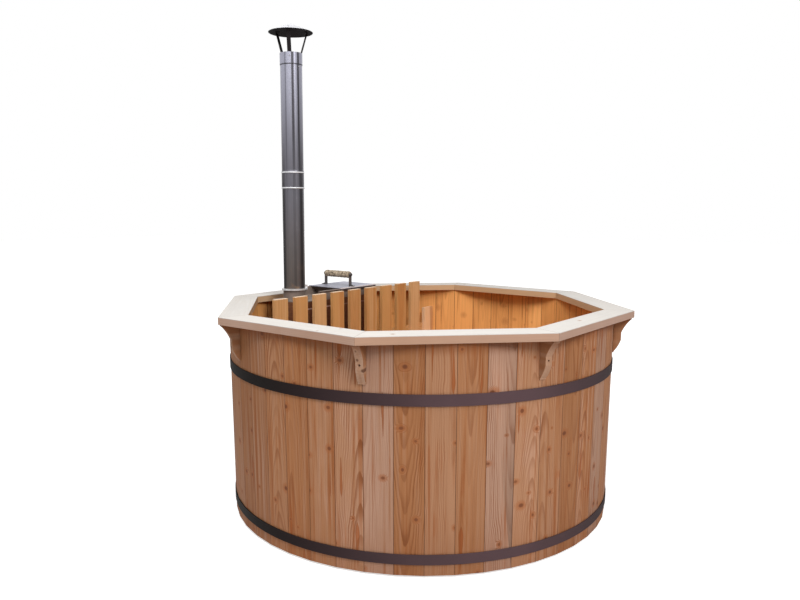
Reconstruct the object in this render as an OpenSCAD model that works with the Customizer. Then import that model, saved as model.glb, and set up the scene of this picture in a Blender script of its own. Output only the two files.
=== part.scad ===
// Round wooden hot tub with an octagonal rim, benches, and a wood stove behind a slatted fence.
// Origin: centre of the tub on the ground. +Z up, +Y towards the stove, +X along the stove.

/* [Staves] */
// Diameter over the staves' outer edges at their top ends
tub_d = 2000; // [1900:10:2200]
// How much smaller the radius is at the foot of the staves
taper = 15; // [0:1:25]
// Length of a stave
stave_l = 1000; // [900:10:1100]
// Thickness of a stave
stave_t = 42; // [34:1:50]
// Number of staves, an even number
stave_count = 48; // [40:2:56]
// Height of the staves' lower ends above the ground
stave_lift = 10; // [4:1:20]

/* [Floor] */
// Height of the floor's underside above the ground
floor_level = 62; // [50:1:90]
// Thickness of the floor boards
floor_t = 40; // [30:1:50]
// Width of a floor board
floor_board_w = 120; // [90:1:160]
// Depth of the groove in the staves that holds the floor
groove_d = 12; // [8:1:18]
// Width of a bearer under the floor
bearer_w = 80; // [60:1:120]
// Distance from bearer to bearer
bearer_pitch = 520; // [400:10:620]

/* [Hoops] */
// How far under the staves' tops the upper hoop's upper edge lies
upper_hoop_drop = 213; // [200:1:300]
// Width of the upper hoop's band
upper_hoop_w = 50; // [35:1:60]
// Height of the lower hoop's lower edge above the staves' lower ends
lower_hoop_rise = 50; // [30:1:60]
// Width of the lower hoop's band
lower_hoop_w = 45; // [35:1:55]
// Thickness of a hoop's band
hoop_t = 4; // [2:0.5:6]
// Angle round the tub at which the hoops' ends are bolted together
hoop_joint_angle = 60; // [30:1:80]
// Space between the two lugs of a hoop
lug_space = 36; // [24:1:50]
// Thickness of a lug
lug_t = 6; // [4:0.5:10]
// How far a lug stands out from the staves
lug_reach = 34; // [28:1:45]
// Diameter of a hoop bolt
hoop_bolt_d = 10; // [8:1:12]

/* [Rim] */
// Width of a rim board
rim_w = 134; // [110:1:150]
// Thickness of a rim board
rim_t = 35; // [25:1:45]
// How far the rim stands past the staves at the middle of a side
rim_overhang = 13; // [5:1:25]
// Diameter of the dowels that hold the rim to the staves
dowel_d = 10; // [8:1:14]
// Length of a dowel
dowel_l = 50; // [30:1:60]

/* [Rim brackets] */
// Height of a bracket
bracket_h = 178; // [173:1:195]
// Width of a bracket
bracket_w = 35; // [25:1:50]
// How far a bracket reaches out under the rim
bracket_reach = 84; // [76:1:86]
// Height of the upright edge at the top
bracket_lip_h = 7; // [4:1:12]
// How far the nose in the middle stands out
bracket_nose = 38; // [34:1:46]
// Height of the hollow above the nose
bracket_hollow_h = 68; // [58:1:73]
// Height of the nose's upright face
bracket_nose_h = 38; // [30:1:43]
// How far the foot stands out
bracket_foot = 6; // [4:1:18]
// Height of the curve between nose and foot
bracket_tail_h = 59; // [45:1:64]

/* [Bench] */
// Height of the seat's top above the floor
seat_rise = 400; // [320:1:460]
// Width of a seat board
seat_board_w = 130; // [100:1:150]
// Thickness of a seat board
seat_t = 34; // [25:1:42]
// Space between the two boards of a seat
seat_slit = 8; // [4:1:15]
// Space between the seat's outer corners and the staves
seat_wall_gap = 10; // [5:1:30]
// Width of the bench arms and legs
bench_wood_w = 48; // [44:1:60]
// Height of a bench arm
bench_arm_h = 70; // [50:1:100]

/* [Fence] */
// Width of a slat
slat_w = 91; // [80:1:110]
// Thickness of a slat
slat_t = 20; // [14:1:26]
// Distance from slat to slat
slat_pitch = 145; // [130:1:160]
// Least width of a slat that the wall cuts
slat_least_w = 40; // [30:1:60]
// How far the tall slats stand above the rim
slat_rise = 34; // [15:1:75]
// How far under the rim's top the short slats end
short_slat_drop = 145; // [105:1:185]
// How far the row of slats sits to the right of the tub's centre
fence_shift = 30; // [20:1:40]
// How far under the rim's top the upper rail's top lies
upper_rail_drop = 245; // [205:1:325]
// Height of the lower rail's top above the floor
lower_rail_rise = 218; // [160:1:300]
// Height of a rail
rail_h = 70; // [45:1:90]
// Thickness of a rail
rail_t = 20; // [14:1:28]
// Space between the rails and the stove
fence_gap = 35; // [10:1:45]

/* [Stove] */
// Length of the stove
stove_l = 630; // [600:1:660]
// Width of the stove
stove_w = 230; // [200:1:240]
// How far the stove's top plate lies under the rim's top
stove_drop = 10; // [0:1:20]
// Space between the stove's back and the rim's inner edge
stove_back_gap = 89; // [80:1:100]
// How far the stove sits to the left of the tub's centre
stove_shift = 28; // [20:1:40]
// Thickness of the stove's plates
plate_t = 4; // [3:0.5:6]
// Radius of the stove's upright corners
stove_corner_r = 24; // [10:1:40]
// Height of the stove's legs
stove_leg_h = 50; // [30:1:80]
// Length of the feed opening
feed_l = 216; // [200:1:250]
// Width of the feed opening
feed_w = 190; // [160:1:196]
// Distance from the feed opening's centre to the stove's right end
feed_end = 159; // [145:1:165]
// How far down the smoke baffle hangs
baffle_h = 500; // [300:1:700]
// Height of the grate's bars above the stove's bottom
grate_rise = 60; // [40:1:100]
// Width of a grate bar
grate_bar_w = 14; // [10:1:20]
// Distance from grate bar to grate bar
grate_pitch = 34; // [28:1:38]

/* [Lid] */
// Length of the lid
lid_l = 312; // [290:1:320]
// Thickness of the lid's sheet
lid_t = 3.5; // [2:0.5:5]
// Height of the guide rails
guide_h = 48; // [30:1:60]
// How far the guide rails' lips stand out
guide_lip = 10; // [5:1:12]
// Depth of the lid's turned-down edges
lid_edge_h = 14; // [8:1:18]
// How far the lid slides towards the flue
lid_travel = 165; // [100:1:168]
// How far the handle stands to the left of the lid's middle
grip_shift = 40; // [0:1:50]
// Length of the handle's grip
grip_l = 190; // [140:1:190]
// Diameter of the handle's grip
grip_d = 40; // [28:1:44]
// Height of the grip's axis above the lid
grip_rise = 68; // [50:1:80]
// Diameter of the handle's rod
rod_d = 10; // [8:1:12]
// Width of the handle's upright straps
strap_w = 22; // [18:1:30]

/* [Flue] */
// Outer diameter of the flue pipe
pipe_d = 118; // [100:1:124]
// Wall of the flue pipe
pipe_wall = 1.5; // [1:0.25:2.5]
// Distance from the flue's axis to the stove's left end
flue_end = 72; // [70:1:80]
// Height of the spigot on the stove
spigot_h = 57; // [50:1:70]
// Outer diameter of the clamp ring
clamp_d = 142; // [134:1:150]
// Height of the clamp ring
clamp_h = 9; // [8:1:16]
// Height of the pipe joint's lower bead above the stove's top plate
joint_rise = 620; // [500:1:700]
// Length of the socket at the pipe joint
joint_l = 84; // [60:1:120]
// Height of the flue pipe's top end above the stove's top plate
pipe_rise = 1295; // [1100:1:1500]
// How far the socket's beads stand out
bead_out = 2.5; // [1.5:0.5:4]

/* [Rain cap] */
// Height of the cap's collar
collar_h = 62; // [55:1:90]
// How far the collar goes down over the pipe
collar_lap = 20; // [12:1:30]
// Height of the cap's rim above the collar
cap_clear = 110; // [80:1:140]
// Diameter of the rain cap
cap_d = 238; // [220:1:280]
// Height of the rain cap's cone
cap_h = 46; // [30:1:70]
// Thickness of the rain cap's sheet
cap_t = 1.5; // [1:0.25:2.5]
// Width of a cap leg
cap_leg_w = 22; // [14:1:28]
// Thickness of a cap leg
cap_leg_t = 2.5; // [2:0.5:4]
// Radius at which the legs meet the cap
cap_leg_out = 95; // [88:1:102]

/* [Drain] */
// Height of the drain's axis above the floor
drain_rise = 62; // [52:1:90]
// Outer diameter of the drain's threaded tube
drain_d = 42; // [36:1:46]
// Wall of the threaded tube
drain_wall = 5; // [4:0.5:7]
// Diameter of the flange inside the tub
drain_flange_d = 76; // [66:1:90]
// Width across the nut's flats
drain_nut_w = 60; // [54:1:70]
// Outer diameter of the valve's body
valve_d = 60; // [56:1:70]
// Length of the valve's body
valve_l = 84; // [78:1:100]
// Diameter of the valve's ball
ball_d = 44; // [40:1:46]
// Diameter of the valve's stem
stem_d = 10; // [8:1:14]
// Length of the valve's lever
lever_l = 120; // [90:1:160]
// Outer diameter of the hose tail
tail_d = 32; // [28:1:36]
// Length of the hose tail that takes a hose
tail_l = 36; // [25:1:50]

/* [Hidden] */

// Smoothness of small and of tub-sized circles
$fn = 48;
big_fn = 240;
// Extra length of a cutting solid past the face that it cuts
cut = 1;
// Space between pieces that sit against each other without being pressed
seat_gap = 0.3;
// Radial space round a screw, bolt, dowel or rod in its hole
hole_gap = 0.2;
// Radial space round the valve's stem
stem_gap = 0.05;

// Colours
stave_tone = [0.68, 0.48, 0.34];
rim_tone = [0.90, 0.87, 0.82];
inner_tone = [0.80, 0.60, 0.40];
hoop_tone = [0.24, 0.18, 0.20];
zinc_tone = [0.62, 0.63, 0.66];
stove_tone = [0.30, 0.27, 0.25];
lid_tone = [0.60, 0.60, 0.68];
flue_tone = [0.66, 0.66, 0.70];
cap_tone = [0.16, 0.14, 0.15];
grip_tone = [0.70, 0.60, 0.48];
brass_tone = [0.78, 0.62, 0.30];
rubber_tone = [0.12, 0.12, 0.12];

// The octagon
sides = 8;
side_angle = 360 / sides;
half_side = side_angle / 2;

// The tub's wall
tub_r = tub_d / 2;
stave_top = stave_lift + stave_l;
stave_angle = 360 / stave_count;
floor_top = floor_level + floor_t;
groove_gap = 0.4;
floor_edge_gap = 1;
stave_half = stave_angle / 2;
// Space between two staves
stave_seam = 0.1;
// Radius over the staves' outer edges at height z, and from the axis to their flat faces
function outer_r(z) = tub_r - taper * (stave_top - z) / stave_l;
function face_r(z) = outer_r(z) * cos(stave_half);
function inner_r(z) = face_r(z) - stave_t;
function stave_centre(a) = (floor(a / stave_angle) + 0.5) * stave_angle;

// The hoops
upper_hoop_level = stave_top - upper_hoop_drop - upper_hoop_w;
lower_hoop_level = stave_lift + lower_hoop_rise;

// The rim
rim_top = stave_top + rim_t;
rim_out = tub_r + rim_overhang;
rim_in = rim_out - rim_w;
dowel_angle = 11;
bracket_screw_drop = 92;
bracket_bore_left = 28;

// A countersunk wood screw
screw_d = 5;
screw_head_d = 10;
screw_head_h = 3;
screw_head_edge = 0.5;
screw_l = 60;

// The bench
seat_top = floor_top + seat_rise;
seat_under = seat_top - seat_t;
seat_out = (inner_r(seat_under) - seat_wall_gap) * cos(half_side);
seat_mid = seat_out - seat_board_w - seat_slit;
seat_in = seat_mid - seat_board_w;
seat_count = 5;
mitre_gap = 2;
arm_under = seat_under - bench_arm_h;
arm_in = seat_in / cos(half_side) + bench_wood_w / 4;
seat_screw_side = 14;

// The stove and the fence, worked out from the rim's inner edge
stove_back = rim_in - stove_back_gap;
stove_front = stove_back - stove_w;
stove_mid = (stove_front + stove_back) / 2;
stove_left = -stove_shift - stove_l / 2;
stove_right = stove_left + stove_l;
stove_top = rim_top - stove_drop;
stove_bottom = floor_top + stove_leg_h;
rail_front = stove_front - fence_gap - rail_t;
rail_back = rail_front + rail_t;
fence_y = rail_front - slat_t;
rim_slat_gap = 10;
fence_screw_l = 32;
slat_top = rim_top + slat_rise;
short_slat_top = rim_top - short_slat_drop;
upper_rail_top = rim_top - upper_rail_drop;
lower_rail_top = floor_top + lower_rail_rise;

// The feed opening and its lid
feed_x = stove_right - feed_end;
handle_x = feed_x - grip_shift;
guide_web = stove_w / 2;
guide_left = feed_x - lid_l / 2 - lid_travel - 2 * seat_gap;
lid_under = stove_top + guide_h + seat_gap;
lid_top = lid_under + lid_t;
lid_half = guide_web + guide_lip + seat_gap + 0.5;
grip_z = lid_top + grip_rise;
strap_t = 4;
strap_y = grip_l / 2 + seat_gap;
strap_foot = 25;
foot_bolt_d = 6;
rod_nut_w = 17;
rod_nut_t = 8;

// The flue
flue_x = stove_left + flue_end;
pipe_r = pipe_d / 2;
spigot_in = pipe_r + seat_gap;
spigot_wall = 3;
spigot_flange = 6;
spigot_flange_t = 4;
joint_z = stove_top + joint_rise;
socket_in = pipe_r + seat_gap;
pipe_top = stove_top + pipe_rise;
lower_pipe_lap = 62;
lower_pipe_l = joint_rise + lower_pipe_lap;
bead_h = 9;
collar_bottom = pipe_top - collar_lap;
collar_top = collar_bottom + collar_h;
collar_in = pipe_r + seat_gap;
collar_r = collar_in + pipe_wall;
cap_rim_z = collar_top + cap_clear;
cap_r = cap_d / 2;
cap_slope = cap_h / cap_r;
cap_sheet_h = cap_t / cos(atan(cap_slope));
leg_gap = 0.4;
leg_tab_h = 40;
leg_top_tab = 14;
leg_count = 3;
leg_angle = -22;
rivet_d = 4;
rivet_head_d = 8;
rivet_head_h = 2;
side_rivet_l = 2 * pipe_wall + cap_leg_t + 1;
cap_rivet_l = cap_t + cap_leg_t + 5;
pipe_rivet_angle = -90;
pipe_rivet_drop = 12;

// The drain
drain_angle = stave_angle / 2;
drain_z = floor_top + drain_rise;
drain_r = drain_d / 2;
drain_bore_r = drain_r - drain_wall;
gasket_t = 4;
flange_t = 5;
drain_nut_t = 14;
drain_lean = atan(taper * cos(stave_half) / stave_l);
wall_inside = -stave_t;
valve_start = drain_nut_t + 1;
thread_in = 16;
valve_x = valve_start + valve_l / 2;
valve_hex_w = drain_d + 9;
ball_r = ball_d / 2;
ball_gap = 0.4;
stem_r = stem_d / 2;
boss_r = stem_r + 6;
boss_top = valve_d / 2 + 10;
lever_t = 4;
lever_w = 20;
lever_nut_w = 16;
lever_nut_t = 7;
tail_bore_r = tail_d / 2 - 4;
tail_hex_w = 50;
tail_hex_t = 14;

// ---- shared shapes ----

// The tub's inside as one solid cone, smaller by the given gap
module inner_space(gap) {
    translate([0, 0, stave_lift])
        cylinder(r1 = inner_r(stave_lift) - gap, r2 = inner_r(stave_top) - gap, h = stave_l, $fn = big_fn);
}

// A rectangle with round corners, centred
module round_rect(l, w, r) {
    square([l - 2 * r, w], center = true);
    square([l, w - 2 * r], center = true);
    for (x = [-1, 1], y = [-1, 1])
        translate([x * (l / 2 - r), y * (w / 2 - r)]) circle(r);
}

// A straight board of one octagon side, with mitred ends, facing angle 0
module side_board(apothem_in, apothem_out, t, gap) {
    in_half = apothem_in * tan(half_side) - gap;
    out_half = apothem_out * tan(half_side) - gap;
    linear_extrude(t)
        polygon([
            [apothem_in, -in_half], [apothem_out, -out_half],
            [apothem_out, out_half], [apothem_in, in_half]]);
}

// A hexagon bar along Z, by its width across flats
module hex_bar(across, h) {
    cylinder(d = across / cos(30), h = h, $fn = 6);
}

// A countersunk screw that points down, with its head's top at the origin.
// As a hole it is larger by the gap all round, and reaches up by the given room above the head.
module wood_screw(l, gap = 0, room = 0) {
    r = screw_d / 2 + gap;
    head_r = screw_head_d / 2 + gap;
    rotate_extrude()
        polygon([
            [0, gap + room], [head_r, gap + room], [head_r, -screw_head_edge],
            [r, -screw_head_h - gap], [r, -l - gap], [0, -l - gap]]);
}

// Things set round the tub, facing outwards at the given angle
module round_tub(a) {
    rotate([0, 0, a]) children();
}

// ---- tub ----

stave_profile = [
    [inner_r(stave_lift), stave_lift], [face_r(stave_lift), stave_lift],
    [face_r(stave_top), stave_top], [inner_r(stave_top), stave_top],
    [inner_r(floor_top + groove_gap), floor_top + groove_gap],
    [inner_r(floor_top + groove_gap) + groove_d, floor_top + groove_gap],
    [inner_r(floor_level) + groove_d, floor_level],
    [inner_r(floor_level), floor_level]];

module dowels(gap) {
    for (side = [0:sides - 1], a = [-dowel_angle, dowel_angle])
        round_tub(stave_centre(side * side_angle + a))
            translate([face_r(stave_top) - stave_t / 2, 0, stave_top - dowel_l / 2 - gap])
                cylinder(d = dowel_d + 2 * gap, h = dowel_l + 2 * gap);
}

// A flat board with its long edges bevelled towards the tub's axis
module stave() {
    edge = tub_r * tan(stave_half);
    intersection() {
        translate([0, edge, 0])
            rotate([90, 0, 0]) linear_extrude(2 * edge) polygon(stave_profile);
        translate([stave_seam / 2 / sin(stave_half), 0, 0])
            linear_extrude(stave_top)
                polygon([[0, 0], [tub_r, -edge], [tub_r, edge]]);
    }
}

module staves(first) {
    color(stave_tone)
        difference() {
            for (i = [first:2:stave_count - 1])
                round_tub((i + 0.5) * stave_angle) stave();
            dowels(hole_gap);
            for (side = [0:sides - 1]) bracket_screw_at(side, hole_gap);
            drain_frame()
                along_x(-2 * stave_t) cylinder(r = drain_r + hole_gap, h = 3 * stave_t);
        }
}

floor_r = inner_r(floor_level) + groove_d - floor_edge_gap;
floor_board_count = ceil(2 * floor_r / floor_board_w);

module floor_boards(first) {
    color(inner_tone)
        difference() {
            intersection() {
                for (i = [first:2:floor_board_count - 1])
                    translate([-tub_r, (i - floor_board_count / 2) * floor_board_w, floor_level])
                        cube([tub_d, floor_board_w, floor_t]);
                translate([0, 0, floor_level]) cylinder(r = floor_r, h = floor_t, $fn = big_fn);
            }
            leg_screws(hole_gap);
        }
}

module floor_bearers() {
    color(inner_tone)
        intersection() {
            for (i = [-1:1])
                translate([i * bearer_pitch - bearer_w / 2, -tub_r, 0])
                    cube([bearer_w, tub_d, floor_level]);
            cylinder(r = inner_r(stave_lift) - groove_d, h = floor_level, $fn = big_fn);
        }
}

// ---- hoops ----

module hoop(level, w) {
    top = level + w;
    low_r = outer_r(level) + seat_gap / 2;
    high_r = outer_r(top) + seat_gap / 2;
    lug_in = high_r + 1;
    // the band ends inside the lugs' thickness
    gap_w = lug_space + lug_t;
    color(hoop_tone)
        round_tub(hoop_joint_angle)
            difference() {
                union() {
                    difference() {
                        rotate([0, 0, 90])
                            rotate_extrude($fn = big_fn)
                                polygon([
                                    [low_r, level], [low_r + hoop_t, level],
                                    [high_r + hoop_t, top], [high_r, top]]);
                        translate([low_r - lug_reach, -gap_w / 2, level - cut])
                            cube([2 * lug_reach, gap_w, w + 2 * cut]);
                    }
                    for (y = [lug_space / 2, -lug_space / 2 - lug_t])
                        translate([lug_in, y, level]) cube([lug_reach, lug_t, w]);
                }
                hoop_bolt_at(level + w / 2, hole_gap);
            }
}

bolt_out = lug_reach - hoop_bolt_d;
bolt_head_h = 7;
hoop_nut_w = 17;
hoop_nut_h = 8;

module hoop_bolt_at(z, gap) {
    translate([outer_r(z) + bolt_out, -lug_space / 2 - lug_t - gap, z])
        rotate([-90, 0, 0])
            cylinder(d = hoop_bolt_d + 2 * gap, h = lug_space + 2 * lug_t + 2 * hoop_nut_h);
}

function hoop_middles() = [upper_hoop_level + upper_hoop_w / 2, lower_hoop_level + lower_hoop_w / 2];

module hoop_bolts() {
    color(zinc_tone)
        round_tub(hoop_joint_angle)
            for (z = hoop_middles()) {
                hoop_bolt_at(z, 0);
                translate([outer_r(z) + bolt_out, -lug_space / 2 - lug_t, z])
                    rotate([90, 0, 0]) hex_bar(hoop_nut_w, bolt_head_h);
            }
}

module hoop_nuts() {
    color(zinc_tone)
        round_tub(hoop_joint_angle)
            for (z = hoop_middles())
                difference() {
                    translate([outer_r(z) + bolt_out, lug_space / 2 + lug_t, z])
                        rotate([-90, 0, 0]) hex_bar(hoop_nut_w, hoop_nut_h);
                    hoop_bolt_at(z, hole_gap);
                }
}

// ---- rim ----

module rim_board(i) {
    color(rim_tone)
        difference() {
            round_tub(i * side_angle)
                translate([0, 0, stave_top]) side_board(rim_in, rim_out, rim_t, 0);
            dowels(hole_gap);
        }
}

module rim_dowels() {
    color(inner_tone) dowels(0);
}

// A cubic curve from a to d with the handles b and c
function bezier(a, b, c, d, t) =
    pow(1 - t, 3) * a + 3 * pow(1 - t, 2) * t * b + 3 * (1 - t) * t * t * c + t * t * t * d;
function curve(a, b, c, d) = [for (i = [1:curve_steps]) bezier(a, b, c, d, i / curve_steps)];
curve_steps = 7;
// Where a curve's handles stand, as shares of its depth and height
handle_near = 0.2;
handle_far = 0.36;

nose_top = -bracket_lip_h - bracket_hollow_h;
nose_end = nose_top - bracket_nose_h;
tail_end = nose_end - bracket_tail_h;
hollow_depth = bracket_reach - bracket_nose;
tail_depth = bracket_nose - bracket_foot;
bracket_face = concat(
    [[bracket_reach, 0], [bracket_reach, -bracket_lip_h]],
    curve([bracket_reach, -bracket_lip_h],
        [bracket_reach - hollow_depth * handle_far, -bracket_lip_h - bracket_hollow_h * handle_near],
        [bracket_nose + hollow_depth * handle_near, nose_top + bracket_hollow_h * handle_far],
        [bracket_nose, nose_top]),
    [[bracket_nose, nose_end]],
    curve([bracket_nose, nose_end],
        [bracket_nose - tail_depth * handle_near, nose_end - bracket_tail_h * handle_far],
        [bracket_foot + tail_depth * handle_far, tail_end + bracket_tail_h * handle_near],
        [bracket_foot, tail_end]),
    [[bracket_foot, -bracket_h]]);

module bracket_screw_at(side, gap, room = 0) {
    z = stave_top - bracket_screw_drop;
    round_tub((side + 0.5) * side_angle)
        translate([outer_r(z) + bracket_bore_left, 0, z])
            rotate([0, 90, 0]) rotate([0, 0, half_side]) wood_screw(screw_l, gap, room);
}

module rim_brackets() {
    low = stave_top - bracket_h;
    color(rim_tone)
        for (side = [0:sides - 1])
            difference() {
                round_tub((side + 0.5) * side_angle)
                    translate([0, bracket_w / 2, 0])
                        rotate([90, 0, 0])
                            linear_extrude(bracket_w)
                                polygon(concat(
                                    [[outer_r(low), low], [tub_r, stave_top]],
                                    [for (p = bracket_face)
                                        [outer_r(stave_top + p[1]) + p[0], stave_top + p[1]]]));
                bracket_screw_at(side, hole_gap, bracket_nose);
            }
}

module bracket_screws() {
    color(zinc_tone)
        for (side = [0:sides - 1]) bracket_screw_at(side, 0);
}

// ---- bench ----

module seat_screws(gap) {
    for (j = [0:seat_count], side = [-1, 1], r = [seat_mid + seat_slit, seat_in])
        if (!(j == 0 && side == 1) && !(j == seat_count && side == -1))
            round_tub(half_side - j * side_angle)
                translate([(r + seat_board_w / 2) / cos(half_side), side * seat_screw_side, seat_top])
                    wood_screw(screw_l, gap);
}

module bench_seat(i) {
    color(inner_tone)
        difference() {
            round_tub(-i * side_angle)
                translate([0, 0, seat_under]) {
                    side_board(seat_in, seat_in + seat_board_w, seat_t, mitre_gap);
                    side_board(seat_out - seat_board_w, seat_out, seat_t, mitre_gap);
                }
            seat_screws(hole_gap);
        }
}

module bench_arms() {
    color(inner_tone)
        difference() {
            intersection() {
                for (j = [0:seat_count])
                    round_tub(half_side - j * side_angle)
                        translate([arm_in, -bench_wood_w / 2, arm_under])
                            cube([tub_r, bench_wood_w, bench_arm_h]);
                inner_space(seat_gap);
            }
            seat_screws(hole_gap);
        }
}

module bench_legs() {
    leg_h = arm_under - floor_top;
    back_leg = inner_r(floor_top) - bench_wood_w - cut;
    color(inner_tone)
        for (j = [0:seat_count], r = [arm_in, back_leg])
            round_tub(half_side - j * side_angle)
                translate([r, -bench_wood_w / 2, floor_top])
                    cube([bench_wood_w, bench_wood_w, leg_h]);
}

module bench_screws() {
    color(zinc_tone) seat_screws(0);
}

// ---- fence ----

function slat_x(i) = fence_shift + i * slat_pitch;
// Half the length that the wall leaves the fence at the rails' back
fence_half = sqrt(pow(inner_r(floor_top) - seat_gap, 2) - pow(rail_back, 2));
function slat_left(i) = max(slat_x(i) - slat_w / 2, -fence_half);
function slat_right(i) = min(slat_x(i) + slat_w / 2, fence_half);
slat_reach = ceil(tub_r / slat_pitch);
// Numbers of the slats that the wall leaves wide enough, counted from the middle one
slat_numbers = [for (i = [-slat_reach:slat_reach]) if (slat_right(i) - slat_left(i) > slat_least_w) i];
// A slat is tall where its outer corner clears the slanting side of the rim
function slat_is_tall(i) =
    (abs(slat_x(i)) + slat_w / 2 + fence_y + slat_t) * cos(side_angle) < rim_in - rim_slat_gap;

module slats(tall) {
    top = tall ? slat_top : short_slat_top;
    color(inner_tone)
        difference() {
            intersection() {
                for (i = slat_numbers)
                    if (slat_is_tall(i) == tall)
                        translate([slat_x(i) - slat_w / 2, fence_y, floor_top])
                            cube([slat_w, slat_t, top - floor_top]);
                cylinder(r = inner_r(floor_top) - seat_gap, h = slat_top, $fn = big_fn);
            }
            slat_screws(hole_gap);
        }
}

module slat_screws(gap) {
    for (i = slat_numbers, top = [upper_rail_top, lower_rail_top])
        translate([(slat_left(i) + slat_right(i)) / 2, rail_back, top - rail_h / 2])
            rotate([-90, 0, 0]) wood_screw(fence_screw_l, gap);
}

module fence_rails() {
    color(inner_tone)
        difference() {
            intersection() {
                for (top = [upper_rail_top, lower_rail_top])
                    translate([-tub_r, rail_front, top - rail_h]) cube([tub_d, rail_t, rail_h]);
                inner_space(seat_gap);
            }
            slat_screws(hole_gap);
        }
}

module fence_screws() {
    color(zinc_tone) slat_screws(0);
}

// ---- stove ----

module stove_outline(inset) {
    translate([(stove_left + stove_right) / 2, stove_mid])
        round_rect(stove_l - 2 * inset, stove_w - 2 * inset, stove_corner_r - inset);
}

module stove_body() {
    h = stove_top - plate_t - stove_bottom;
    color(stove_tone)
        difference() {
            translate([0, 0, stove_bottom]) linear_extrude(h) stove_outline(0);
            translate([0, 0, stove_bottom + plate_t]) linear_extrude(h) stove_outline(plate_t);
        }
}

module stove_top_plate() {
    color(stove_tone)
        translate([0, 0, stove_top - plate_t])
            difference() {
                linear_extrude(plate_t) stove_outline(0);
                translate([flue_x, stove_mid, -cut]) cylinder(r = pipe_r - pipe_wall, h = plate_t + 2 * cut);
                translate([feed_x - feed_l / 2, stove_mid - feed_w / 2, -cut])
                    cube([feed_l, feed_w, plate_t + 2 * cut]);
            }
}

leg_w = 46;
leg_foot = 44;
leg_screw_l = 30;
// Each leg's spot is its end of the stove and its middle across the stove; the last value points outwards
stove_leg_spots = [for (end = [-1, 1], y = [-1, 1])
    [end > 0 ? stove_right : stove_left, stove_mid + y * stove_w / 4, end]];

module leg_screws(gap) {
    for (spot = stove_leg_spots)
        translate([spot[0] + spot[2] * leg_foot / 2, spot[1], floor_top + plate_t])
            wood_screw(leg_screw_l, gap);
}

stove_leg_line = [
    [-leg_foot, stove_leg_h], [-leg_foot, stove_leg_h - plate_t],
    [-plate_t, stove_leg_h - plate_t], [-plate_t, 0],
    [leg_foot, 0], [leg_foot, plate_t], [0, plate_t], [0, stove_leg_h]];

// A plate bent to a Z: a tab under the stove, an upright, and a foot that points away from the stove
module stove_legs() {
    color(stove_tone)
        difference() {
            for (spot = stove_leg_spots)
                translate([spot[0], spot[1] + leg_w / 2, floor_top])
                    rotate([90, 0, 0])
                        linear_extrude(leg_w)
                            polygon([for (p = stove_leg_line) [spot[2] * p[0], p[1]]]);
            leg_screws(hole_gap);
        }
}

module stove_leg_screws() {
    color(zinc_tone) leg_screws(0);
}

module smoke_baffle() {
    clear_w = stove_w - 2 * plate_t - 2 * seat_gap;
    x = (flue_x + pipe_r + feed_x - feed_l / 2) / 2;
    color(stove_tone)
        translate([x - plate_t / 2, stove_mid - clear_w / 2, stove_top - plate_t - baffle_h])
            cube([plate_t, clear_w, baffle_h]);
}

grate_bar_h = 16;
grate_end_gap = 14;

// Loose bars along the stove, on two bearers that stand on edge across its bottom
module fire_grate() {
    l = stove_l - 2 * plate_t - 2 * grate_end_gap;
    bars = floor((stove_w - 2 * plate_t - 2 * grate_end_gap - grate_bar_w) / grate_pitch);
    half_w = bars * grate_pitch / 2;
    color(stove_tone)
        translate([(stove_left + stove_right) / 2, stove_mid, stove_bottom + plate_t]) {
            for (i = [0:bars])
                translate([-l / 2, i * grate_pitch - half_w - grate_bar_w / 2, grate_rise])
                    cube([l, grate_bar_w, grate_bar_h]);
            for (x = [-1, 1])
                translate([x * l / 3 - grate_bar_w / 2, -half_w - grate_bar_w / 2, 0])
                    cube([grate_bar_w, 2 * half_w + grate_bar_w, grate_rise - seat_gap]);
        }
}

// ---- hatch and lid ----

module hatch_frame() {
    right = stove_right;
    wall_y = guide_web - plate_t;
    color(stove_tone)
        translate([0, stove_mid, stove_top]) {
            for (y = [-1, 1]) {
                translate([guide_left, y > 0 ? wall_y : -guide_web, 0])
                    cube([right - stove_corner_r - guide_left, plate_t, guide_h]);
                translate([guide_left, y > 0 ? wall_y : -guide_web - guide_lip, guide_h - plate_t])
                    cube([right - stove_corner_r - guide_left, guide_lip + plate_t, plate_t]);
            }
            for (x = [feed_x - feed_l / 2 - plate_t, feed_x + feed_l / 2])
                translate([x, -guide_web, 0]) cube([plate_t, 2 * guide_web, guide_h - seat_gap]);
        }
}

foot_bolt_y = strap_y + strap_t + strap_foot / 2;

module stove_lid() {
    color(lid_tone)
        translate([feed_x, stove_mid, 0])
            difference() {
                translate([-lid_l / 2, 0, 0]) {
                    translate([0, -lid_half, lid_under]) cube([lid_l, 2 * lid_half, lid_t]);
                    for (y = [-lid_half - lid_t, lid_half])
                        translate([0, y, lid_top - lid_edge_h]) cube([lid_l, lid_t, lid_edge_h]);
                }
                translate([-grip_shift, 0, 0]) foot_bolt_pair(hole_gap);
            }
}

module foot_bolt_pair(gap) {
    for (y = [-1, 1])
        translate([0, y * foot_bolt_y, lid_under - gap])
            cylinder(d = foot_bolt_d + 2 * gap, h = lid_t + strap_t + 2 * gap);
}

module handle_rod_solid(gap) {
    half = strap_y + strap_t + rod_nut_t + strap_t;
    translate([0, -half, grip_z])
        rotate([-90, 0, 0]) cylinder(d = rod_d + 2 * gap, h = 2 * half);
}

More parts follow.
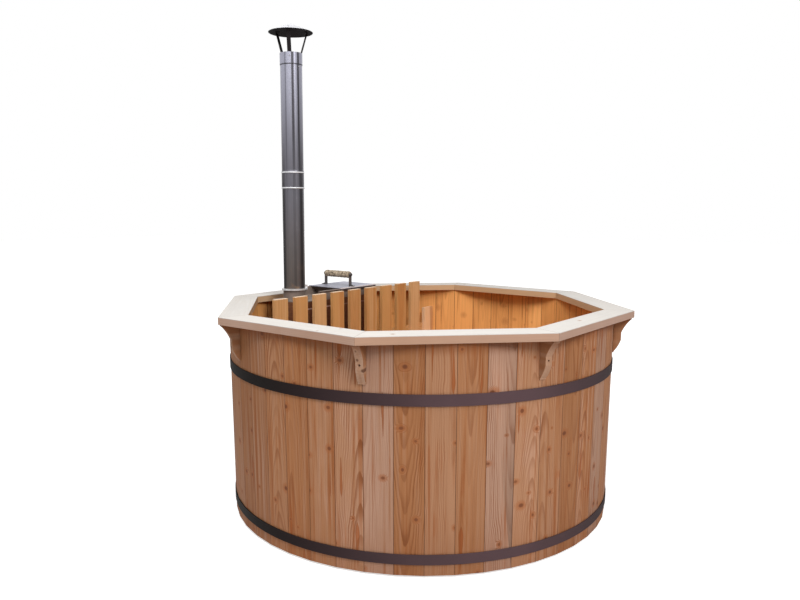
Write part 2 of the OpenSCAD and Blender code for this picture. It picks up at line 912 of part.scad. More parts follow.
module handle_brackets() {
    color(zinc_tone)
        translate([handle_x, stove_mid, 0])
            for (y = [-1, 1])
                difference() {
                    union() {
                        translate([-strap_w / 2, y > 0 ? strap_y : -strap_y - strap_t, lid_top])
                            cube([strap_w, strap_t, grip_rise]);
                        translate([0, y > 0 ? strap_y : -strap_y - strap_t, grip_z])
                            rotate([-90, 0, 0]) cylinder(d = strap_w, h = strap_t);
                        translate([-strap_w / 2, y > 0 ? strap_y : -strap_y - strap_t - strap_foot, lid_top])
                            cube([strap_w, strap_t + strap_foot, strap_t]);
                    }
                    handle_rod_solid(hole_gap);
                    foot_bolt_pair(hole_gap);
                }
}

module handle_rod() {
    color(zinc_tone)
        translate([handle_x, stove_mid, 0]) handle_rod_solid(0);
}

grip_beads = 7;
bead_depth = 2.5;
// One bead of the grip: how far each point lies from the outer radius, and its share of the bead's length
grip_bead = [[-bead_depth, 0], [0, 0.25], [0, 0.75], [-bead_depth, 0.97]];

module handle_grip() {
    bead = grip_l / grip_beads;
    r = grip_d / 2;
    color(grip_tone)
        translate([handle_x, stove_mid + grip_l / 2, grip_z])
            rotate([90, 0, 0])
                rotate_extrude()
                    polygon(concat(
                        [[rod_d / 2 + hole_gap, grip_l], [rod_d / 2 + hole_gap, 0]],
                        [for (i = [0:grip_beads - 1], p = grip_bead) [r + p[0], (i + p[1]) * bead]]));
}

module handle_fasteners() {
    color(zinc_tone)
        translate([handle_x, stove_mid, 0]) {
            for (y = [-1, 1])
                difference() {
                    translate([0, y > 0 ? strap_y + strap_t : -strap_y - strap_t - rod_nut_t, grip_z])
                        rotate([-90, 0, 0]) hex_bar(rod_nut_w, rod_nut_t);
                    handle_rod_solid(hole_gap);
                }
            foot_bolt_pair(0);
            for (y = [-1, 1])
                translate([0, y * foot_bolt_y, lid_top + strap_t]) hex_bar(foot_bolt_d + strap_t, strap_t);
        }
}

// ---- flue ----

module at_flue(z) {
    translate([flue_x, stove_mid, z]) children();
}

module flue_spigot() {
    r = spigot_in + spigot_wall;
    color(stove_tone)
        at_flue(stove_top)
            rotate_extrude()
                polygon([[spigot_in, 0], [r + spigot_flange, 0], [r + spigot_flange, spigot_flange_t],
                    [r, spigot_flange_t], [r, spigot_h], [spigot_in, spigot_h]]);
}

clamp_lug_l = 14;
clamp_lug_w = 12;
clamp_lug_h = 18;
clamp_angle = -45;

module flue_clamp() {
    color(zinc_tone)
        at_flue(stove_top + spigot_h)
            difference() {
                union() {
                    cylinder(d = clamp_d, h = clamp_h);
                    rotate([0, 0, clamp_angle])
                        translate([pipe_r, -clamp_lug_w / 2, 0])
                            cube([clamp_lug_l, clamp_lug_w, clamp_h + clamp_lug_h]);
                }
                translate([0, 0, -cut]) cylinder(r = spigot_in, h = clamp_h + clamp_lug_h + 2 * cut);
            }
}

module lower_flue_pipe() {
    color(flue_tone)
        at_flue(stove_top)
            difference() {
                cylinder(r = pipe_r, h = lower_pipe_l);
                translate([0, 0, -cut]) cylinder(r = pipe_r - pipe_wall, h = lower_pipe_l + 2 * cut);
            }
}

// Inner and outer lines of a round bead on the socket, at height z
function bead_line(r, z) = [
    [r, z - bead_h / 2], [r + bead_out, z - bead_h / 4],
    [r + bead_out, z + bead_h / 4], [r, z + bead_h / 2]];

module upper_flue_pipe() {
    neck = 12;
    socket_r = socket_in + pipe_wall;
    in_r = pipe_r - pipe_wall;
    h = pipe_top - joint_z;
    color(flue_tone)
        difference() {
            at_flue(joint_z)
                rotate_extrude()
                    polygon(concat(
                        [[socket_in, -bead_h / 2]],
                        bead_line(socket_r, 0),
                        bead_line(socket_r, joint_l),
                        [[pipe_r, joint_l + neck], [pipe_r, h], [in_r, h], [in_r, joint_l + neck],
                            [socket_in, joint_l - neck / 2]]));
            side_rivets(hole_gap);
        }
}

// A rivet along +Z: its shank reaches l below the sheet, and its head sits on the sheet at height 0
module rivet(l, gap) {
    translate([0, 0, -l]) cylinder(d = rivet_d + 2 * gap, h = l + rivet_head_h);
    if (gap == 0) cylinder(d1 = rivet_head_d, d2 = rivet_d, h = rivet_head_h);
}

// The rivets that hold the legs to the collar, and the one in the pipe's top end
module side_rivets(gap) {
    at_flue(0) {
        for (i = [0:leg_count - 1])
            rotate([0, 0, leg_angle + i * 360 / leg_count])
                translate([collar_r, 0, collar_top - leg_tab_h / 2])
                    rotate([0, 90, 0]) rivet(side_rivet_l, gap);
        rotate([0, 0, pipe_rivet_angle])
            translate([pipe_r, 0, collar_bottom - pipe_rivet_drop])
                rotate([0, 90, 0]) rivet(side_rivet_l, gap);
    }
}

// The rivets that hold the legs' top tabs to the cap
module cap_rivets(gap) {
    r = cap_leg_out - leg_top_tab / 2;
    head_z = cap_rim_z + (cap_r - r + rivet_head_d / 2) * cap_slope;
    for (i = [0:leg_count - 1])
        at_flue(0)
            rotate([0, 0, leg_angle + i * 360 / leg_count])
                translate([r, 0, head_z]) rivet(cap_rivet_l, gap);
}

module flue_rivets() {
    color(zinc_tone) {
        side_rivets(0);
        cap_rivets(0);
    }
}

module cap_collar() {
    color(flue_tone)
        difference() {
            at_flue(collar_bottom)
                rotate_extrude()
                    polygon([[collar_in, 0], [collar_r, 0], [collar_r, collar_h], [collar_in, collar_h]]);
            side_rivets(hole_gap);
        }
}

// Sheet strap in the plane of radius and height: tab in the collar, slanting leg, tab under the cap
leg_in = collar_in - seat_gap;
leg_start = collar_top - leg_tab_h;
function under_cap(r) = cap_rim_z + (cap_r - r) * cap_slope - cap_sheet_h - leg_gap;
cap_leg_line = [
    [leg_in, leg_start], [leg_in, collar_top], [cap_leg_out, under_cap(cap_leg_out)],
    [cap_leg_out - leg_top_tab, under_cap(cap_leg_out - leg_top_tab)],
    [cap_leg_out - leg_top_tab, under_cap(cap_leg_out - leg_top_tab) - cap_leg_t],
    [cap_leg_out - cap_leg_t, under_cap(cap_leg_out) - cap_leg_t],
    [leg_in - cap_leg_t, collar_top], [leg_in - cap_leg_t, leg_start]];

module cap_legs() {
    color(cap_tone)
        difference() {
            for (i = [0:leg_count - 1])
                at_flue(0)
                    rotate([0, 0, leg_angle + i * 360 / leg_count])
                        intersection() {
                            translate([0, cap_leg_w / 2, 0])
                                rotate([90, 0, 0]) linear_extrude(cap_leg_w) polygon(cap_leg_line);
                            // the tab stays inside the round collar
                            union() {
                                translate([0, 0, leg_start]) cylinder(r = leg_in, h = leg_tab_h);
                                translate([0, 0, collar_top]) cylinder(r = cap_r, h = cap_clear + cap_h);
                            }
                        }
            side_rivets(hole_gap);
            cap_rivets(hole_gap);
        }
}

module rain_cap() {
    color(cap_tone)
        difference() {
            at_flue(cap_rim_z)
                rotate_extrude()
                    polygon([[0, cap_h - cap_sheet_h], [cap_r, -cap_sheet_h], [cap_r, 0], [0, cap_h]]);
            cap_rivets(hole_gap);
        }
}

// ---- drain ----

// Drain pieces are drawn along +X from the outer face of a stave, square to that face
module drain_frame() {
    round_tub(drain_angle)
        translate([face_r(drain_z), 0, drain_z]) rotate([0, drain_lean, 0]) children();
}

module along_x(x) {
    translate([x, 0, 0]) rotate([0, 90, 0]) children();
}

nipple_end = valve_start + thread_in;
flange_x = wall_inside - gasket_t - flange_t;

module drain_nipple() {
    color(brass_tone)
        drain_frame()
            difference() {
                union() {
                    along_x(flange_x) cylinder(d = drain_flange_d, h = flange_t);
                    along_x(flange_x) cylinder(r = drain_r, h = nipple_end - flange_x);
                }
                along_x(flange_x - cut) cylinder(r = drain_bore_r, h = nipple_end - flange_x + 2 * cut);
            }
}

module drain_gasket() {
    color(rubber_tone)
        drain_frame()
            along_x(wall_inside - gasket_t)
                difference() {
                    cylinder(d = drain_flange_d - gasket_t, h = gasket_t);
                    translate([0, 0, -cut]) cylinder(r = drain_r + hole_gap, h = gasket_t + 2 * cut);
                }
}

module drain_nut() {
    color(brass_tone)
        drain_frame()
            along_x(0)
                difference() {
                    hex_bar(drain_nut_w, drain_nut_t);
                    translate([0, 0, -cut]) cylinder(r = drain_r + hole_gap, h = drain_nut_t + 2 * cut);
                }
}

module valve_body() {
    color(brass_tone)
        drain_frame()
            difference() {
                union() {
                    along_x(valve_start) hex_bar(valve_hex_w, valve_l);
                    along_x(valve_start + thread_in) cylinder(d = valve_d, h = valve_l - 2 * thread_in);
                    translate([valve_x, 0, 0]) cylinder(r = boss_r, h = boss_top);
                }
                translate([valve_x, 0, 0]) sphere(ball_r + ball_gap);
                along_x(valve_start - cut) cylinder(r = drain_bore_r, h = valve_l + 2 * cut);
                for (x = [valve_start - cut, valve_start + valve_l - thread_in - hole_gap])
                    along_x(x) cylinder(r = drain_r + hole_gap, h = thread_in + cut + hole_gap);
                translate([valve_x, 0, 0]) cylinder(r = stem_r + stem_gap, h = boss_top + cut);
            }
}

lever_z = boss_top + seat_gap;

module valve_ball() {
    color(zinc_tone)
        drain_frame()
            translate([valve_x, 0, 0])
                difference() {
                    union() {
                        sphere(ball_r);
                        cylinder(r = stem_r, h = lever_z + lever_t + lever_nut_t + 2);
                    }
                    translate([0, ball_d, 0]) rotate([90, 0, 0]) cylinder(r = drain_bore_r, h = 2 * ball_d);
                }
}

module valve_lever() {
    color(hoop_tone)
        drain_frame()
            translate([valve_x, 0, lever_z])
                difference() {
                    union() {
                        cylinder(d = lever_w + 4, h = lever_t);
                        translate([-lever_w / 2, 0, 0]) cube([lever_w, lever_l - lever_w / 2, lever_t]);
                        translate([0, lever_l - lever_w / 2, 0]) cylinder(d = lever_w, h = lever_t);
                    }
                    translate([0, 0, -cut]) cylinder(r = stem_r + stem_gap, h = lever_t + 2 * cut);
                }
}

module lever_nut() {
    color(zinc_tone)
        drain_frame()
            translate([valve_x, 0, lever_z + lever_t])
                difference() {
                    hex_bar(lever_nut_w, lever_nut_t);
                    translate([0, 0, -cut]) cylinder(r = stem_r + stem_gap, h = lever_nut_t + 2 * cut);
                }
}

module hose_tail() {
    end = valve_start + valve_l;
    color(brass_tone)
        drain_frame()
            difference() {
                union() {
                    along_x(end - thread_in) cylinder(r = drain_r, h = thread_in);
                    along_x(end) hex_bar(tail_hex_w, tail_hex_t);
                    along_x(end) cylinder(d = tail_d, h = tail_hex_t + tail_l);
                }
                along_x(end - thread_in - cut)
                    cylinder(r = tail_bore_r, h = thread_in + tail_hex_t + tail_l + 2 * cut);
            }
}

// ---- the whole ----

staves(0);  // staves_a
staves(1);  // staves_b
floor_boards(0);  // floor_boards_a
floor_boards(1);  // floor_boards_b
floor_bearers();
hoop(upper_hoop_level, upper_hoop_w);  // upper_hoop
hoop(lower_hoop_level, lower_hoop_w);  // lower_hoop
hoop_bolts();
hoop_nuts();
rim_board(0);  // rim_board_1
rim_board(1);  // rim_board_2
rim_board(2);  // rim_board_3
rim_board(3);  // rim_board_4
rim_board(4);  // rim_board_5
rim_board(5);  // rim_board_6
rim_board(6);  // rim_board_7
rim_board(7);  // rim_board_8
rim_dowels();
rim_brackets();
bracket_screws();
bench_seat(0);  // bench_seat_1
bench_seat(1);  // bench_seat_2
bench_seat(2);  // bench_seat_3
bench_seat(3);  // bench_seat_4
bench_seat(4);  // bench_seat_5
bench_arms();
bench_legs();
bench_screws();
slats(true);  // fence_slats
slats(false);  // fence_short_slats
fence_rails();
fence_screws();
stove_body();
stove_top_plate();
stove_legs();
stove_leg_screws();
smoke_baffle();
fire_grate();
hatch_frame();
stove_lid();
handle_brackets();
handle_rod();
handle_grip();
handle_fasteners();
flue_spigot();
flue_clamp();
lower_flue_pipe();
upper_flue_pipe();
cap_collar();
cap_legs();
flue_rivets();
rain_cap();
drain_nipple();
drain_gasket();
drain_nut();
valve_body();
valve_ball();
valve_lever();
lever_nut();
hose_tail();
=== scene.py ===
import math

import bpy
from mathutils import Matrix, Vector

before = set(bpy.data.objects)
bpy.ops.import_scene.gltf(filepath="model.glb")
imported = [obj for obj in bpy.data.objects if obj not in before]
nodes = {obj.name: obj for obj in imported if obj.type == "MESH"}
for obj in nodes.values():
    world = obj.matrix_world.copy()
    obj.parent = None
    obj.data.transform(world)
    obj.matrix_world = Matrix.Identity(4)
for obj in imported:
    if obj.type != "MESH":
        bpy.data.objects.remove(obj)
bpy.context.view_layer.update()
print("frame loaded:", len(nodes), "solids")


class Value:  # a socket that can be used in sums
    def __init__(self, finish, socket):
        self.finish, self.socket = finish, socket

    def sum(self, operation, *values):
        return self.finish.add("ShaderNodeMath", {"operation": operation}, values)

    def __add__(self, other): return self.sum("ADD", self, other)
    def __radd__(self, other): return self.sum("ADD", other, self)
    def __sub__(self, other): return self.sum("SUBTRACT", self, other)
    def __rsub__(self, other): return self.sum("SUBTRACT", other, self)
    def __mul__(self, other): return self.sum("MULTIPLY", self, other)
    def __rmul__(self, other): return self.sum("MULTIPLY", other, self)
    def __truediv__(self, other): return self.sum("DIVIDE", self, other)
    def __rtruediv__(self, other): return self.sum("DIVIDE", other, self)
    def __pow__(self, other): return self.sum("POWER", self, other)
    def floor(self): return self.sum("FLOOR", self)
    def part(self): return self.sum("FRACT", self)
    def size(self): return self.sum("ABSOLUTE", self)
    def sine(self): return self.sum("SINE", self)
    def cosine(self): return self.sum("COSINE", self)
    def root(self): return self.sum("SQRT", self)
    def over(self, limit): return self.sum("GREATER_THAN", self, limit)
    def line(self, start, slope): return start + self * slope

    def rise(self, low, high):  # 0 below low, 1 above high, smooth between
        values = [self, low, high, 0.0, 1.0]
        return self.finish.add("ShaderNodeMapRange", {"interpolation_type": "SMOOTHSTEP"}, values)

    def mask(self, other, shares, limits):  # where a sum of two values is high
        return (self * shares[0] + other * shares[1]).rise(*limits)

    def also(self, name):  # another output of the same node
        return Value(self.finish, self.socket.node.outputs[name])


class Finish:  # one material and its nodes
    def __init__(self, name):
        self.material = bpy.data.materials.new(name)
        self.material.use_nodes = True
        self.tree = self.material.node_tree
        self.shader = self.tree.nodes["Principled BSDF"]
        self.place = self.add("ShaderNodeTexCoord", out="Object")
        self.x = self.add("ShaderNodeSeparateXYZ", {}, [self.place], "X")
        self.y, self.z = self.x.also("Y"), self.x.also("Z")

    def add(self, kind, settings=None, values=(), out=0):
        node = self.tree.nodes.new(kind)
        for key, value in (settings or {}).items():
            setattr(node, key, value)
        for key, value in (values.items() if isinstance(values, dict) else enumerate(values)):
            if isinstance(value, Value):
                self.tree.links.new(value.socket, node.inputs[key])
            elif isinstance(value, (tuple, list)) and node.inputs[key].type == "RGBA":
                node.inputs[key].default_value = (*value, 1)
            else:
                node.inputs[key].default_value = value
        return Value(self, node.outputs[out])

    def vector(self, x, y, z):
        return self.add("ShaderNodeCombineXYZ", {}, [x, y, z])

    def noise(self, where, scale, detail, roughness):
        values = {"Vector": where, "Scale": scale, "Detail": detail, "Roughness": roughness}
        return self.add("ShaderNodeTexNoise", {}, values, "Fac")

    def stretched(self, x, y, z, detail, roughness):  # noise with its own scale along each axis
        return self.noise(self.vector(self.x * x, self.y * y, self.z * z), 1.0, detail, roughness)

    def chance(self, number, salt):  # a random number from 0 to 1 for each whole number
        values = {"Vector": self.vector(number, salt, 0.0)}
        return self.add("ShaderNodeTexWhiteNoise", {"noise_dimensions": "2D"}, values, "Value")

    def blend(self, amount, first, second):  # inputs 0, 6 and 7 are a colour mix's factor and colours
        return self.add("ShaderNodeMix", {"data_type": "RGBA"}, {0: amount, 6: first, 7: second}, 2)

    def shade(self, colour, amount):
        return self.add("ShaderNodeVectorMath", {"operation": "SCALE"}, {0: colour, "Scale": amount})

    def radius(self, x=0.0, y=0.0):  # distance from an upright axis
        offX, offY = self.x - x, self.y - y
        return (offX * offX + offY * offY).root()

    def sector(self, count, shift=0.0):
        # index round the tub, distance sideways from the sector's middle, distance outwards
        turn = self.x.sum("ARCTAN2", self.y, self.x) * (count / math.tau) - shift
        index = (turn + 0.5).floor()
        off = (turn - index) * (math.tau / count)
        radius = self.radius()
        return index, radius * off.sine(), radius * off.cosine()

    def scatter(self, across, along, steps, shiftAcross, shiftAlong):
        # distances to the nearest of some points strewn over a face, and that point's random colour
        stepAcross, stepAlong = steps
        placeAcross = across / stepAcross + shiftAcross
        placeAlong = along / stepAlong + shiftAlong
        values = {"Vector": self.vector(placeAcross, placeAlong, 0.0), "Scale": 1.0}
        cell = self.add("ShaderNodeTexVoronoi", {"voronoi_dimensions": "2D"}, values, "Position")
        spot = self.add("ShaderNodeSeparateXYZ", {}, [cell], "X")
        pick = self.add("ShaderNodeSeparateColor", {}, [cell.also("Color")], "Red")
        return (placeAcross - spot) * stepAcross, (placeAlong - spot.also("Y")) * stepAlong, pick

    def bump(self, height, distance, strength):
        values = {"Height": height, "Distance": distance, "Strength": strength}
        return self.add("ShaderNodeBump", {}, values, "Normal")

    def set(self, **sockets):
        for key, value in sockets.items():
            socket = self.shader.inputs[key.replace("_", " ")]
            if isinstance(value, Value):
                self.tree.links.new(value.socket, socket)
            elif isinstance(value, (tuple, list)):
                socket.default_value = (*value, 1)
            else:
                socket.default_value = value
        return self.material


# Colours are linear. early and late are the light and dark parts of the growth rings, and tint and
# warm vary the light part. inside, top and seam belong to single faces, heights and edges, and damp
# is painted shade: a painted shadow under the rim and painted shade towards the foot.
staveWood = {
    "early": (0.400, 0.200, 0.106), "late": (0.200, 0.060, 0.016), "tint": (0.450, 0.262, 0.178),
    "warm": (0.375, 0.158, 0.063), "heart": (0.33, 0.088, 0.020), "flame": (0.300, 0.080, 0.018),
    "knot": (0.150, 0.046, 0.018), "halo": (0.330, 0.105, 0.032), "inside": (0.80, 0.375, 0.118),
    # damp is the colour of the painted shadow under the rim and the painted shade at the foot
    "seam": (0.085, 0.030, 0.012), "paintedShade": (0.20, 0.055, 0.014),
    "ringPitch": 0.0062, "slope": 0.13, "ringDepth": 0.85, "wander": 0.034, "pithDepth": 0.040,
    "knotSteps": (0.075, 0.20), "knotSize": 0.0100, "knotShare": 0.52,
    "flameSteps": (0.085, 0.42), "flameWidth": 0.009, "flameLength": 0.20, "flameShare": 0.40,
    "checks": 0.8, "spread": 0.20, "roughness": 0.62,
}
rimWood = {
    "early": (0.450, 0.285, 0.215), "late": (0.360, 0.205, 0.135), "tint": (0.470, 0.315, 0.245),
    "warm": (0.430, 0.255, 0.170), "heart": (0.45, 0.25, 0.15), "knot": (0.22, 0.09, 0.04),
    "halo": (0.40, 0.23, 0.14), "inside": (0.560, 0.360, 0.205), "seam": (0.20, 0.12, 0.07),
    "top": (0.620, 0.590, 0.555), "topLate": (0.530, 0.470, 0.400),
    "ringPitch": 0.0065, "slope": 0.05, "ringDepth": 0.5, "wander": 0.025, "pithDepth": 0.06,
    "knotSteps": (0.11, 0.45), "knotSize": 0.006, "knotShare": 0.30,
    "spread": 0.08, "roughness": 0.6,
}
bracketWood = {
    **rimWood, "early": (0.440, 0.275, 0.195), "late": (0.290, 0.135, 0.070), "tint": (0.460, 0.305, 0.225),
    # damp is the colour of the painted shadow under the rim
    "warm": (0.410, 0.225, 0.135), "knot": (0.13, 0.055, 0.030), "paintedShade": (0.18, 0.055, 0.016),
    "top": (0.350, 0.160, 0.075), "topLate": (0.220, 0.075, 0.022),
    "knotSteps": (0.035, 0.055), "knotSize": 0.0075, "knotShare": 0.5,
}
innerWood = {
    "early": (0.620, 0.315, 0.120), "late": (0.430, 0.165, 0.048), "tint": (0.640, 0.360, 0.165),
    "warm": (0.580, 0.265, 0.085), "heart": (0.52, 0.21, 0.06), "knot": (0.16, 0.055, 0.018),
    "halo": (0.48, 0.20, 0.06),
    "ringPitch": 0.0062, "slope": 0.10, "ringDepth": 0.5, "wander": 0.028, "pithDepth": 0.05,
    "knotSteps": (0.09, 0.28), "knotSize": 0.0065, "knotShare": 0.4,
    "spread": 0.12, "roughness": 0.6,
}
fenceWood = {
    **innerWood, "early": (0.655, 0.375, 0.163), "late": (0.430, 0.190, 0.068), "tint": (0.680, 0.405, 0.195),
    "warm": (0.610, 0.310, 0.110), "top": (0.80, 0.60, 0.42), "topLate": (0.70, 0.48, 0.30), "knotShare": 0.0,
}
# The short slats are painted lighter than the fence: painted light where the rim shades them.
paintedLightShortWood = {**fenceWood, "early": (0.90, 0.62, 0.38), "tint": (0.90, 0.64, 0.42), "warm": (0.88, 0.56, 0.31)}

# Noises drawn out along a board: their scales across and along it, and their jump from board to board.
woodNoises = {
    "drift": {"across": 3.0, "along": 1.3, "jump": 60.0, "scale": 3.0, "detail": 3.0, "roughness": 0.5},
    "fibre": {"across": 420.0, "along": 9.0, "jump": 90.0, "scale": 1.0, "detail": 3.0, "roughness": 0.6},
    "streak": {"across": 60.0, "along": 1.2, "jump": 70.0, "scale": 1.0, "detail": 3.0, "roughness": 0.55},
    "patch": {"across": 6.0, "along": 2.2, "jump": 40.0, "scale": 1.6, "detail": 4.0, "roughness": 0.62},
    "lines": {"across": 190.0, "along": 1.7, "jump": 30.0, "scale": 1.0, "detail": 3.0, "roughness": 0.6},
    "check": {"across": 16.0, "along": 210.0, "jump": 20.0, "scale": 1.0, "detail": 2.0, "roughness": 0.5},
    "checkPlace": {"across": 9.0, "along": 5.0, "jump": 90.0, "scale": 1.0, "detail": 2.0, "roughness": 0.5},
}
# What all the woods share. Two numbers are where a mask starts and is full, or a line's start and
# slope, but a Shift is across and along the board, and bump is distance and strength. tint and warm
# begin with the shares of the two values that their mask adds up.
woodMix = {
    "tint": ((0.7, 0.9), (0.55, 1.05)), "warm": ((0.6, 1.1), (0.65, 1.10)),
    "pithSide": 0.12, "pithRoom": 0.004,  # how far the pith may lie to the side, and its least depth
    "ringDark": (0.30, 0.86), "ringEnd": (0.92, 1.0), "ringStrength": (0.25, 0.95),
    "ringPatch": (-0.2, 1.5), "ringBoard": (0.5, 0.7),
    "heart": (0.006, 0.016), "heartBoards": (0.35, 0.65), "heartAmount": 0.65,
    "knotShift": (37.0, 53.0), "knotWidth": (0.75, 0.7), "knotLeast": 0.45, "knotCore": 0.40,
    "knotPush": 0.9, "knotAmount": (0.50, 0.45), "halo": (0.9, 2.4), "haloAmount": 0.60,
    "flameShift": (41.0, 29.0), "flameSway": 0.016, "flameFoot": 0.035, "flameRound": 0.060,
    "flameLeast": 0.35, "flameEdge": 0.0025, "flameAmount": (0.55, 0.6),
    "outlineStart": 0.0008, "outlineEnd": (0.0018, 0.0030), "outlineAmount": 0.6,
    "resinStreak": (0.50, 0.66), "resinPatch": (0.42, 0.60), "resinAmount": 0.50,
    "insideGrain": 0.55, "insideKnots": 0.88,  # how much of the grain and the knots an inner face loses
    # painted shadow under the rim and painted shade towards the foot: where each starts and is full, and how much
    "rimShadow": (0.945, 1.004), "rimShadowAmount": 0.70, "footShade": (0.0, 0.36), "footShadeAmount": 0.24,
    "streak": (0.48, 0.78), "streakAmount": 0.40, "lines": (0.54, 0.72), "linesAmount": 0.45,
    "check": (0.70, 0.76), "checkPlace": (0.56, 0.64), "checkBoards": (0.55, 0.75), "checkSlide": 1.875,
    "seamAmount": 0.85, "fibreTone": (0.93, 0.14), "patchTone": (0.90, 0.20),
    "fibreRoughness": 0.12, "lateRoughness": -0.05, "specular": 0.2,
    "relief": {"fibre": 0.4, "late": -0.5, "knot": -0.6, "seam": -0.8}, "bump": (0.0009, 0.5),
}


def woodNoise(f, name, across, along, luck, depth=0.0):
    noise = woodNoises[name]
    height = depth * noise["across"] + luck * noise["jump"]
    where = f.vector(across * noise["across"], along * noise["along"], height)
    return f.noise(where, noise["scale"], noise["detail"], noise["roughness"])


def makeKnots(f, wood, across, along, luck):  # knots, halos round them, their radius and a random number
    shiftAcross, shiftAlong = woodMix["knotShift"]
    knotAcross, knotAlong, pick = f.scatter(
        across, along, wood["knotSteps"], luck[0] * shiftAcross, luck[1] * shiftAlong)
    knotAcross = knotAcross / pick.also("Blue").line(*woodMix["knotWidth"])
    away = (knotAcross * knotAcross + knotAlong * knotAlong).root()
    radius = (pick.also("Green") + woodMix["knotLeast"]) * wood["knotSize"]
    shown = 1.0 - pick.over(wood["knotShare"])
    knot = (1.0 - away.rise(radius * woodMix["knotCore"], radius)) * shown
    haloStart, haloEnd = woodMix["halo"]
    halo = (1.0 - away.rise(radius * haloStart, radius * haloEnd)) * shown
    return knot, halo, radius, pick.also("Green")


def makeFlames(f, wood, across, along, luck, drift):
    # cuts through resin pockets, open at their foot and drawn out to a point, and their outlines
    shiftAcross, shiftAlong = woodMix["flameShift"]
    sway, climb, pick = f.scatter(
        across, along, wood["flameSteps"], luck[3] * shiftAcross, luck[0] * shiftAlong)
    sway = sway + drift * woodMix["flameSway"]
    climb = climb * (pick.also("Green").over(0.5) * 2.0 - 1.0)  # half of them hang down
    opening = (climb + woodMix["flameFoot"]).rise(0.0, woodMix["flameRound"]).root()
    opening = opening * (1.0 - climb / wood["flameLength"])
    width = opening * wood["flameWidth"] * (woodMix["flameLeast"] + pick.also("Blue"))
    inward = (width - sway.size()) * (1.0 - pick.over(wood["flameShare"]))
    outline = inward.rise(0.0, woodMix["outlineStart"]) * (1.0 - inward.rise(*woodMix["outlineEnd"]))
    return inward.rise(0.0, woodMix["flameEdge"]), outline


